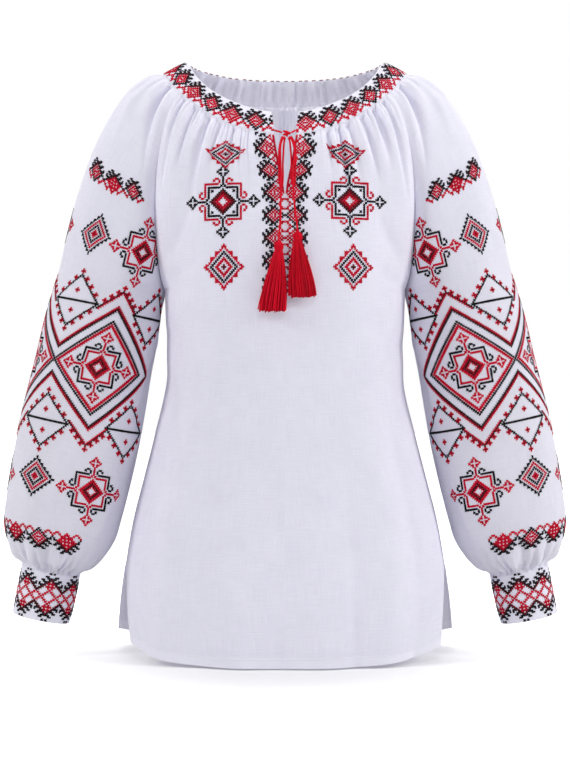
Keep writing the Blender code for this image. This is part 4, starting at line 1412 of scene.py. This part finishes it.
def cuff_chart():
    """The cuff's lattice of crossing rhombs, with checked corners and toothed roofs, all round it."""
    cells = {}
    half = CUFF_PERIOD // 2
    for c in range(CUFF_CELLS):
        k = c % CUFF_PERIOD - half
        for r in range(-14, 15):
            ring = abs(k) + abs(r)
            line = abs(k + r) in (4, 18) or abs(k - r) in (4, 18)
            if ring > 11:
                thread = "black" if abs(r) > 4 and tooth(k, ring - 11, half) else None
            elif abs(r) < 4 and ring > 9:
                thread = "dark" if ring == 10 else None
            elif ring > 9:
                thread = "black" if ring == 11 else "dark"
            elif abs(r) - abs(k) > 4:
                thread = "red" if k % 2 or r % 2 == 0 else None
            else:
                thread = "red" if line else None
            if thread:
                cells[(c, r)] = thread
    return cells


# ---- placing the stitches ----
def cell_frames(spots, locate, outward):
    """For a chart's cells: which of them have a place, and these ones' points, ways and sizes."""
    c, r = spots.T
    here = locate(c, r)
    east = locate(c + 0.5, r) - locate(c - 0.5, r)
    south = locate(c, r + 0.5) - locate(c, r - 0.5)
    size = np.stack([np.linalg.norm(east, axis=-1), np.linalg.norm(south, axis=-1)], axis=-1)
    good = np.isfinite(here).all(1) & (size < LARGEST_CELL).all(1)
    here, east, south = here[good], east[good], south[good]
    normal = unit(np.cross(south, east))
    inward = np.sum(normal * outward(here), axis=-1, keepdims=True) < 0
    return good, here, unit(east), normal * np.where(inward, -1.0, 1.0), size[good]


class Needlework:
    """Collects the stitches of each piece of cloth, by thread."""

    def __init__(self):
        self.work = {}
        self.dice = np.random.default_rng(21)

    def place(self, piece, cells, locate, outward, lift):
        """Adds a chart's cells: locate gives a cell's point, outward a rough way out of the shirt."""
        for floss in FLOSSES:
            spots = np.array([cell for cell, one in cells.items() if one == floss], float).reshape(-1, 2)
            if not len(spots):
                continue
            good, here, along, normal, size = cell_frames(spots, locate, outward)
            count = len(here)
            lean = np.radians(self.dice.normal(0, STITCH_LEAN, count))[:, None]
            along = unit(along * np.cos(lean) + np.cross(normal, along) * np.sin(lean))
            alone = [not any((a + i, b + j) in cells for i, j in BESIDE) for a, b in spots[good]]
            size = size * np.where(alone, LONE_STITCH, 1.0)[:, None]
            size = np.column_stack([size, np.full(count, STITCH_HEIGHT)])
            size = size * self.dice.normal(1.0, STITCH_UNEVEN, (count, 1))
            spot = here + normal * lift + along * self.dice.normal(0, STITCH_ASTRAY, (count, 1))
            self.work.setdefault((piece, floss), []).append(
                (spot, turns_of(along, normal), size, self.dice.uniform(0, 1, count)))

    def sew(self, tree, threads):
        """Makes one object for each piece of cloth and thread."""
        made = {}
        for (piece, floss), parts in self.work.items():
            name = f"{piece}_{floss}_cross_stitch"
            mesh = point_mesh(name, *(np.concatenate(column) for column in zip(*parts)))
            values = {**STITCH_SHAPE, "Thread": threads[FLOSSES[floss]]}
            made.setdefault(piece, []).append(grown(name, mesh, tree, values))
        return made


def turns_of(along, normal):
    """Quaternions that turn X to "along" and Z to "normal"."""
    side = np.cross(normal, along)
    turns = []
    for x, y, z in zip(along, side, normal):
        turns.append(tuple(Matrix((x, y, z)).transposed().to_quaternion()))
    return np.array(turns)


def surface_tree(grids):
    """A tree for casting rays onto the grids."""
    points, quads = [], []
    for grid in grids:
        quads += quads_of(grid, len(points)).tolist()
        points += grid.reshape(-1, 3).tolist()
    return BVHTree.FromPolygons(points, quads)


def cast(tree, starts, way):
    """Where rays from the starts meet the surface."""
    found = []
    for start in starts:
        hit = tree.ray_cast(Vector(start), Vector(way), RAY_REACH)[0]
        found.append(tuple(hit) if hit else (math.nan,) * 3)
    return np.array(found)


def on_patch(tree, centre, outward, down, pitch_across, pitch_down, curl=(0.0, 0.0)):
    """Cells on a flat patch, laid onto the surface along its normal; curl lifts its two side tips."""
    outward = unit(np.array(outward, float))
    down = np.array(down, float)
    down = unit(down - outward * (down @ outward))
    across = np.cross(outward, down)

    def locate(c, r):
        c, r = c[:, None], r[:, None]
        lifted = np.where(c < 0, curl[0], curl[1]) * (np.abs(c) / 11) ** 3
        spots = np.array(centre) + across * c * pitch_across + down * (r * pitch_down - lifted)
        return cast(tree, spots + outward * PATCH_LIFT, -outward)

    return locate


def on_rows(grid, first, rows, cells):
    """Cells on a grid: the row at its first edge, its count of rows, and its count of cells round it."""
    deep, wide = grid.shape[0] - 1, grid.shape[1] - 1
    return lambda c, r: sample(grid, (r - first) / rows * deep, (c + 0.5) / cells * wide)


class SleeveChart:
    """The sleeve laid flat: across is the arc from its top line, down the length from the neck seam."""

    LOW, STEP = -0.215, 0.001

    def __init__(self, grid, around):
        columns, self.down = top_places(grid, around)
        arc = from_side(grid)
        places = np.arange(self.LOW, -self.LOW + self.STEP / 2, self.STEP)
        rows = []
        for column, arcs, points in zip(columns, arc, grid):
            middle = np.interp(column, np.arange(len(arcs)), arcs)
            rows.append([np.interp(places + middle, arcs, points[:, axis]) for axis in range(3)])
        self.even = np.swapaxes(np.array(rows), 1, 2)

    def at(self, across, down):
        """Points of the sleeve for places of the chart."""
        row = np.interp(down, self.down, np.arange(len(self.down)))
        return sample(self.even, row, (across - self.LOW) / self.STEP)

    def cells(self, across, down, pitch_across, pitch_down, climb=0.0):
        """Places a motif's cells about a point of the chart."""
        return lambda c, r: self.at(across + c * pitch_across,
                                    down + r * pitch_down - climb * np.abs(c) * pitch_across)


def on_side(sign, locate):
    """The right side's places, or the same places on the left."""
    return lambda c, r: locate(c, r) * (-sign, 1, 1)


def from_body(points):
    """Away from the body's upright axis."""
    return points * (1, 1, 0)


def from_arm(sign):
    """Away from the arm's axis on that side; above the underarm, away from its top."""
    top = np.array([sign * ARM_CENTRE_X, 0.0, UNDERARM_Z + ARM_TOP_RISE])
    way = np.array(ARM_WAY) * (-sign, 1, 1)

    def outward(points):
        along = np.clip((points - top) @ way, 0, None)[:, None]
        return points - (top + way * along)

    return outward


def sew_chest(work, tree):
    """The motifs of the front beside the neck slit's bands."""
    charts = {"star": star("black", "red", CHEST_HEART, True), "diamond": chest_diamond()}
    for motif, x, z, across, down, curl in CHEST_MOTIFS:
        centre = (x, CHEST_PATCH_Y, z)
        locate = on_patch(tree, centre, (0.0, -1.0, 0.0), (0.0, 0.0, -1.0), across, down, curl)
        work.place("front", charts[motif], locate, from_body, LINEN_WALL / 2)


def sew_placket(work, tree, half, sign, brim):
    """The band of stitches beside the neck slit, and the red line along its edge."""
    edge = half[:, -1 if sign < 0 else 0]
    order = np.argsort(edge[:, 2])
    edge_z, edge_x = edge[order, 2], np.abs(edge[order, 0])
    strip = border(range(PLACKET_ROWS), 14, 14, airy=True)
    cells = {(5 - r, k): thread for (k, r), thread in strip.items()}
    for k in range(PLACKET_ROWS):
        if np.interp(PLACKET_TOP_Z - k * PLACKET_PITCH[1], edge_z, edge_x) > SLIT_SHUT:
            cells[(0, k)] = "red"

    def locate(c, r):
        z = PLACKET_TOP_Z - r * PLACKET_PITCH[1]
        x = sign * (np.interp(z, edge_z, edge_x) + (c + PLACKET_INSET) * PLACKET_PITCH[0])
        spots = cast(tree, vectors(x, PLACKET_RAYS_Y, z), (0.0, 1.0, 0.0))
        spots[z > np.interp(x, brim[:, 0], brim[:, 2]) - BRIM_CLEAR] = math.nan
        return spots

    work.place("front", cells, locate, from_body, LINEN_WALL / 2)


def sew_front(work, halves, band):
    """All the stitches of the front; the neckband's lower brim hides the ends of the bands."""
    tree = surface_tree(halves)
    sew_chest(work, tree)
    brim = band[-1][band[-1][:, 1] < 0]
    brim = brim[np.argsort(brim[:, 0])]
    for sign, half in zip((-1, 1), halves):
        sew_placket(work, tree, half, sign, brim)


def sew_band(work, grid):
    """The border round the neckband."""
    cells = border(range(BAND_CELLS), BAND_PERIOD, 4, airy=True)
    work.place("neckband", cells, on_rows(grid, *BAND_CHART, BAND_CELLS), from_body, BAND_WALL / 2)


def sew_cuff(work, grid, piece, sign):
    """The cuff's lattice."""
    locate = on_rows(grid, *CUFF_CHART, CUFF_CELLS)
    work.place(piece, cuff_chart(), on_side(sign, locate), from_arm(sign), BAND_WALL / 2)


def sew_sleeve(work, grid, around, piece, sign):
    """All the motifs of one sleeve."""
    chart = SleeveChart(grid, around)
    tree = surface_tree([grid])
    small_star = star("red", "black", SLEEVE_HEART, False)
    charts = {
        "upper_border": border(range(-23, 24), 15, 0),
        "lower_border": {(c, -r): thread for (c, r), thread in border(range(-32, 33), 16, 8).items()},
        "diamond": sleeve_diamond(),
        "great_rhombs": great_rhombs(),
    }

    def put(cells, locate):
        work.place(piece, cells, on_side(sign, locate), from_arm(sign), LINEN_WALL / 2)

    for motif, *place in SLEEVE_MOTIFS:
        put(charts[motif], chart.cells(*place))
    for lower, upper in SLEEVE_STARS:
        put(small_star, chart.cells(lower, *LOWER_STARS))
        centre, near, low = (
            chart.at(np.array([upper + right]), np.array([UPPER_STARS[0] + fall]))
            for right, fall in ((0.0, 0.0), (STAR_TILT_REACH, 0.0), (0.0, STAR_TILT_REACH)))
        normal = unit(np.cross(near - centre, low - centre))[0]
        normal = normal * math.copysign(1.0, normal @ from_arm(-1)(centre)[0])
        put(small_star, on_patch(tree, centre[0], normal, ARM_WAY, *UPPER_STARS[1:]))


# ---- stitching lines ----
def running_stitches(name, path, at, outward, lift, tree, shape, surface):
    """A short thread at each of those lengths along the path; outward gives a rough way out."""
    spots = places_on(path, at)
    along = unit(places_on(path, at + 0.001) - spots)
    normal = unit(outward(spots))
    normal = unit(normal - along * np.sum(normal * along, axis=-1, keepdims=True))
    count = len(spots)
    mesh = point_mesh(name, spots + normal * lift, turns_of(along, normal), np.ones((count, 3)),
                      np.full(count, 0.5))
    return grown(name, mesh, tree, {**shape, "Thread": surface})


def sew_hem(name, grid, tree, surface):
    """White running stitches along the top of the turned hem."""
    far = from_edge(grid, last=True)
    rows = np.arange(grid.shape[0], dtype=float)
    path = []
    for column in range(grid.shape[1]):
        row = np.interp(HEM_STITCH_AT, far[::-1, column], rows[::-1])
        path.append(sample(grid, row, column))
    path = np.array(path)
    at = np.arange(0.0025, lengths_along(path)[-1] - 0.002, HEM_STITCH_PITCH)
    lift = LINEN_WALL / 2 + 0.00012
    return running_stitches(name, path, at, from_body, lift, tree, HEM_STITCH, surface)


def sew_edge(band, tree, surface):
    """The tips of the border that show over the band's top edge behind the neck."""
    edge = band[0][band[0][:, 1] > 0.004]
    at = np.arange(0.004, lengths_along(edge)[-1], EDGE_STITCH_PITCH)
    at = at + np.random.default_rng(8).normal(0, EDGE_STITCH_ASTRAY, len(at))
    return running_stitches("neckband_edge_stitches", edge, at, lambda spots: spots * 0 + (0, 0, 1),
                            0.0003, tree, EDGE_STITCH, surface)


# ---- cord and tassels ----
def rope(name, path, radius, surface):
    """A twisted cord swept along its path, with closed ends."""
    path = np.array(path)
    along = unit(np.gradient(path, axis=0))
    length = lengths_along(path)
    side = np.cross(along[0], (0.3, 0.2, 1.0))
    turns = np.arange(CORD_SIDES) * 2 * math.pi / CORD_SIDES
    around = []
    for k, centre in enumerate(path):
        side = unit(side - along[k] * (side @ along[k]))
        other = np.cross(along[k], side)
        plies = np.cos(CORD_PLIES * (turns - CORD_TWIST * length[k] / CORD_PLIES))
        wide = radius * (PLY_MEAN + PLY_BULGE * plies)
        if k in (0, len(path) - 1):
            wide = wide * CORD_END
        out = np.cos(turns)[:, None] * side + np.sin(turns)[:, None] * other
        around.append(centre + wide[:, None] * out)
    points = np.concatenate(around + [path[:1], path[-1:]])
    first, last = len(points) - 2, len(points) - 1
    end = first - CORD_SIDES
    ring = [(j, (j + 1) % CORD_SIDES) for j in range(CORD_SIDES)]
    faces = [(k + a, k + b, k + b + CORD_SIDES, k + a + CORD_SIDES)
             for k in range(0, end, CORD_SIDES) for a, b in ring]
    for a, b in ring:
        faces += [(first, b, a), (last, end + a, end + b)]
    mesh = bpy.data.meshes.new(name)
    mesh.from_pydata(points.tolist(), [], faces)
    point_values(mesh, "tone", np.full(len(points), 0.6))
    mesh.polygons.foreach_set("use_smooth", np.ones(len(mesh.polygons), bool))
    mesh.materials.append(surface)
    return add_object(name, mesh)


def fine_path(route):
    """Evenly spaced points along a smooth curve through the route's own points, and its length."""
    reads = np.linspace(0, len(route) - 1, (len(route) - 1) * 12 + 1)
    columns = [smooth(reads, np.arange(len(route)), column) for column in zip(*route)]
    points = np.stack(columns, axis=-1)
    length = float(lengths_along(points)[-1])
    at = np.linspace(0, length, max(8, round(length / ROPE_STEP)))
    return places_on(points, at), length


def tail_path(route, place):
    """The tail's route, run on into its tassel."""
    top, end = np.array(place["top"]), np.array(place["end"])
    inside = top + unit(end - top) * INTO_TASSEL
    return tuple(route) + (tuple(top + unit(end - top) * 0.006), tuple(inside))


def lines_mesh(name, lines):
    """Edges along each line, with a thickness for each point and a tone for each line."""
    points, edges, thick, tone = [], [], [], []
    for path, radii, shade in lines:
        start = len(points)
        points += np.asarray(path).tolist()
        edges += [(start + k, start + k + 1) for k in range(len(path) - 1)]
        thick += list(np.broadcast_to(radii, len(path)))
        tone += [shade] * len(path)
    mesh = bpy.data.meshes.new(name)
    mesh.from_pydata(points, edges, [])
    point_values(mesh, "thick", thick)
    point_values(mesh, "tone", tone)
    return mesh


def head_lines(top, dice):
    """The threads over the tassel's head."""
    down, wide = np.array(TASSEL_HEAD).T
    reads = np.linspace(down[0], down[-1], 7)
    out = smooth(reads, down, wide) - 0.0005
    lines = []
    for k in range(HEAD_STRANDS):
        sway = 2 * math.pi * k / HEAD_STRANDS + 0.25 * (reads / down[-1])
        path = np.stack([out * np.cos(sway), out * np.sin(sway), -reads], axis=-1) + top
        lines.append((path, HEAD_STRAND_RADIUS, dice.uniform(0.35, 1.0)))
    return lines


def neck_line(top):
    """The thread wound five times round the tassel's neck."""
    turns = np.linspace(0, 2 * math.pi * 5, 76)
    down = 0.0086 + 0.0030 * turns / turns[-1]
    path = np.stack([0.0042 * np.cos(turns), 0.0042 * np.sin(turns), -down], axis=-1) + top
    return path, 0.00050, 0.25


def skirt_lines(top, fall, dice):
    """The threads of the tassel's skirt, which opens as it falls."""
    share = np.linspace(0, 1, 10)
    lines = []
    for k in range(SKIRT_STRANDS):
        turn = 2 * math.pi * (k * 0.381966) + dice.normal(0, 0.05)
        out = math.sqrt((k + 0.5) / SKIRT_STRANDS)
        open_by = 1 - (1 - share) ** dice.uniform(1.35, 1.75)
        wide = SKIRT_ROOT * (1 - open_by) + SKIRT_END[0] * open_by
        deep = SKIRT_ROOT * (1 - open_by) + SKIRT_END[1] * open_by
        wave = dice.normal(0, 0.00035) * np.sin(share * dice.uniform(4, 8) + dice.uniform(0, 6)) * share
        x = out * wide * math.cos(turn) + wave + fall[0] * share ** 1.15
        y = out * deep * math.sin(turn) + wave + fall[1] * share
        length = -fall[2] - SKIRT_TOP + dice.normal(0, 0.0010) - 0.0012 * out
        path = np.stack([x, y, -SKIRT_TOP - length * share], axis=-1) + top
        lines.append((path, STRAND_RADIUS * (0.9 + 0.35 * share), dice.uniform(0.0, 1.0)))
    return lines


def tassel_lines(place, seed):
    """The tassel's threads: over its head, round its neck and down its skirt."""
    dice = np.random.default_rng(seed)
    top, end = np.array(place["top"]), np.array(place["end"])
    return head_lines(top, dice) + [neck_line(top)] + skirt_lines(top, end - top, dice)


def knot_paths():
    """The wraps of the knot, inside its solid."""
    wide, deep, tall = (size - CORD_RADIUS * 0.9 for size in KNOT_SIZE)
    turns = np.linspace(0, 2 * math.pi * 1.02, 40)
    wraps = []
    for lean, shift in ((0.25, -0.0007), (-0.35, 0.0009)):
        x = wide * np.cos(turns)
        wraps.append(vectors(x, deep * np.sin(turns), shift + lean * x + 0.0010 * turns / turns[-1]))
    turns = np.linspace(0.3, 2 * math.pi - 0.3, 40)
    wraps.append(vectors(0.0010 * np.sin(turns), deep * np.sin(turns), tall * np.cos(turns)))
    return [wrap + KNOT_CENTRE for wrap in wraps]


def joined(name, parts):
    """One object from several."""
    shell = bmesh.new()
    for part in parts:
        shell.from_mesh(part.data)
    mesh = bpy.data.meshes.new(name)
    shell.to_mesh(mesh)
    shell.free()
    mesh.materials.append(parts[0].data.materials[0])
    for part in parts:
        bpy.data.objects.remove(part)
    return add_object(name, mesh)


# ---- the studio ----
def camera():
    """The level view of the shirt's front."""
    made = bpy.data.cameras.new("camera")
    made.sensor_fit = "HORIZONTAL"
    made.sensor_width = 36.0
    made.lens = CAMERA_LENS
    eye = add_object("camera", made)
    eye.location = CAMERA_AT
    eye.rotation_euler = (math.radians(90), 0.0, 0.0)
    bpy.context.scene.camera = eye


def lamp(name, at, aim, size, power):
    """A large soft lamp turned to its aim."""
    made = bpy.data.lights.new(name, "AREA")
    made.shape = "DISK"
    made.size = size
    made.energy = power
    lit = add_object(name, made)
    lit.location = at
    lit.rotation_euler = (Vector(aim) - Vector(at)).to_track_quat("-Z", "Y").to_euler()


def floor_material():
    """Pale, and lifted to white away from the shirt, for the camera only."""
    made, nodes = new_material("pale_floor")
    where = nodes.add("ShaderNodeTexCoord", output=3)
    grain = noise(nodes, where, (3.0, 3.0, 3.0), 3.0)
    colour = blend(nodes, grain, *FLOOR_TONES)
    finish_material(nodes, colour, 0.75 + grain * 0.1, grain, 0.0001, {"Emission Strength": 1.0})
    far = nodes.add("ShaderNodeVectorMath", {"operation": "DISTANCE"},
                    {0: where, 1: (0.0, -0.12, 0.0)}, output=1)
    away = nodes.add("ShaderNodeMapRange", {"interpolation_type": "SMOOTHSTEP"},
                     {"Value": far, "From Min": 0.05, "From Max": 0.50})
    lift = nodes.add("ShaderNodeLightPath") * (FLOOR_LIFT + away * (1.0 - FLOOR_LIFT))
    glow = blend(nodes, lift, (0.0, 0.0, 0.0), (1.0, 1.0, 1.0))
    nodes.tree.links.new(glow.socket, nodes.tree.nodes["Principled BSDF"].inputs["Emission Color"])
    return made


def lay_floor():
    """A round floor."""
    turns = [2 * math.pi * k / FLOOR_SIDES for k in range(FLOOR_SIDES)]
    points = [(0.0, 0.0, 0.0)]
    points += [(FLOOR_RADIUS * math.cos(turn), FLOOR_RADIUS * math.sin(turn), 0.0) for turn in turns]
    faces = [(0, k + 1, (k + 1) % FLOOR_SIDES + 1) for k in range(FLOOR_SIDES)]
    mesh = bpy.data.meshes.new("floor")
    mesh.from_pydata(points, [], faces)
    mesh.materials.append(floor_material())
    floor = add_object("floor", mesh)
    floor.location.z = FLOOR_Z


def studio():
    """A pale floor that fades into a white sky, and soft lamps."""
    lay_floor()
    world = bpy.data.worlds.new("studio")
    world.use_nodes = True
    bpy.context.scene.world = world
    background = world.node_tree.nodes["Background"].inputs
    background["Color"].default_value = (1.0, 1.0, 1.0, 1.0)
    strength = Nodes(world.node_tree).add("ShaderNodeLightPath") * (1.0 - SKY_LIGHT) + SKY_LIGHT
    world.node_tree.links.new(strength.socket, background["Strength"])
    for row in LAMPS:
        lamp(*row)


def own(made, node, slot):
    """The piece hangs from the root and stands for that node of the frame, whose part it hides; the slot
    is not used.
    """
    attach(made, "root")
    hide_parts(node)
    return made


def tassel(side, place, seed, tree, surface):
    """The threads of one tassel."""
    name = f"tassel_{side}_threads"
    made = grown(name, lines_mesh(name, tassel_lines(place, seed)), tree, {"Thread": surface})
    return own(made, f"tassel_{side}", slot="red_cord")


def make_cord(surface):
    """The tassels, then the cord's ties, its loops, its tails with their tassels, and its knot."""
    tree = strand_tree()
    tassels = {side: tassel(side, place, seed, tree, surface)
               for side, place, seed in (("right", TASSEL_RIGHT, 31), ("left", TASSEL_LEFT, 32))}
    for name, route in (("tie_right", TIE_RIGHT), ("tie_left", TIE_LEFT)):
        own(rope(f"{name}_cord", fine_path(route)[0], CORD_RADIUS, surface), name, slot="red_cord")
    for name, route in (("loop_right", LOOP_RIGHT), ("loop_left", LOOP_LEFT)):
        path, length = fine_path(route)
        made = own(rope(f"{name}_cord", path, CORD_RADIUS, surface), name, slot="red_cord")
    for side, route, place in (("right", TAIL_RIGHT, TASSEL_RIGHT), ("left", TAIL_LEFT, TASSEL_LEFT)):
        path, length = fine_path(tail_path(route, place))
        made = own(rope(f"tail_{side}_cord", path, CORD_RADIUS, surface), f"tail_{side}", slot="red_cord")
    wraps = [rope(f"wrap_{k}", path, CORD_RADIUS * 0.9, surface) for k, path in enumerate(knot_paths())]
    own(joined("knot_wraps", wraps), "knot", slot="red_cord")


def sew_all(halves, back, sleeve, around, band, cuff, threads):
    """The cross stitch, then the stitching of the hem and of the neckband's top edge, for each node."""
    work = Needlework()
    sew_front(work, halves, band)
    sew_band(work, band)
    for side, sign in (("right", -1), ("left", 1)):
        sew_sleeve(work, sleeve, around, f"sleeve_{side}", sign)
        sew_cuff(work, cuff, f"cuff_{side}", sign)
    sewn = work.sew(stitch_tree(), threads)
    tree = running_tree()
    white = threads["white_thread"]
    for side, grid in zip(("right", "left"), halves):
        sewn["front"].append(sew_hem(f"front_{side}_hem_stitches", grid, tree, white))
    sewn["back"] = [sew_hem("back_hem_stitches", back, tree, white)]
    sewn["neckband"].append(sew_edge(band, tree, threads["dark_red_floss"]))
    return sewn


def dress():
    """Builds every piece."""
    white = linen_material("white_linen", WEAVE_DEPTH)
    band_white = linen_material("band_linen", BAND_WEAVE_DEPTH)
    threads = {name: thread_material(name) for name in THREAD_LOOKS}
    make_cord(threads["red_cord"])
    halves = [front_half(-1), front_half(1)]
    back, cuff = back_panel(), cuff_grid()
    sleeve, around = right_sleeve()
    band, band_out = band_grid()
    linens = {
        "front": cloth("linen_front", halves, LINEN_WALL, white, hem=HEM_DEEP),
        "back": cloth("linen_back", [back], LINEN_WALL, white, hem=HEM_DEEP),
        "sleeve_right": cloth("linen_sleeve_right", [sleeve], LINEN_WALL, white),
        "sleeve_left": cloth("linen_sleeve_left", [mirrored(sleeve)], LINEN_WALL, white),
        "neckband": cloth("linen_neckband", [band], BAND_WALL, band_white, flipped=band_out < 0),
        "cuff_right": cloth("linen_cuff_right", [cuff], BAND_WALL, band_white),
        "cuff_left": cloth("linen_cuff_left", [mirrored(cuff)], BAND_WALL, band_white),
    }
    for node, made in linens.items():
        own(made, node, slot="white_linen")
    sewn = sew_all(halves, back, sleeve, around, band, cuff, threads)
    for made in (piece for pieces in sewn.values() for piece in pieces):
        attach(made, "root")


camera()
dress()
studio()
bpy.context.scene.view_settings.view_transform = "Standard"
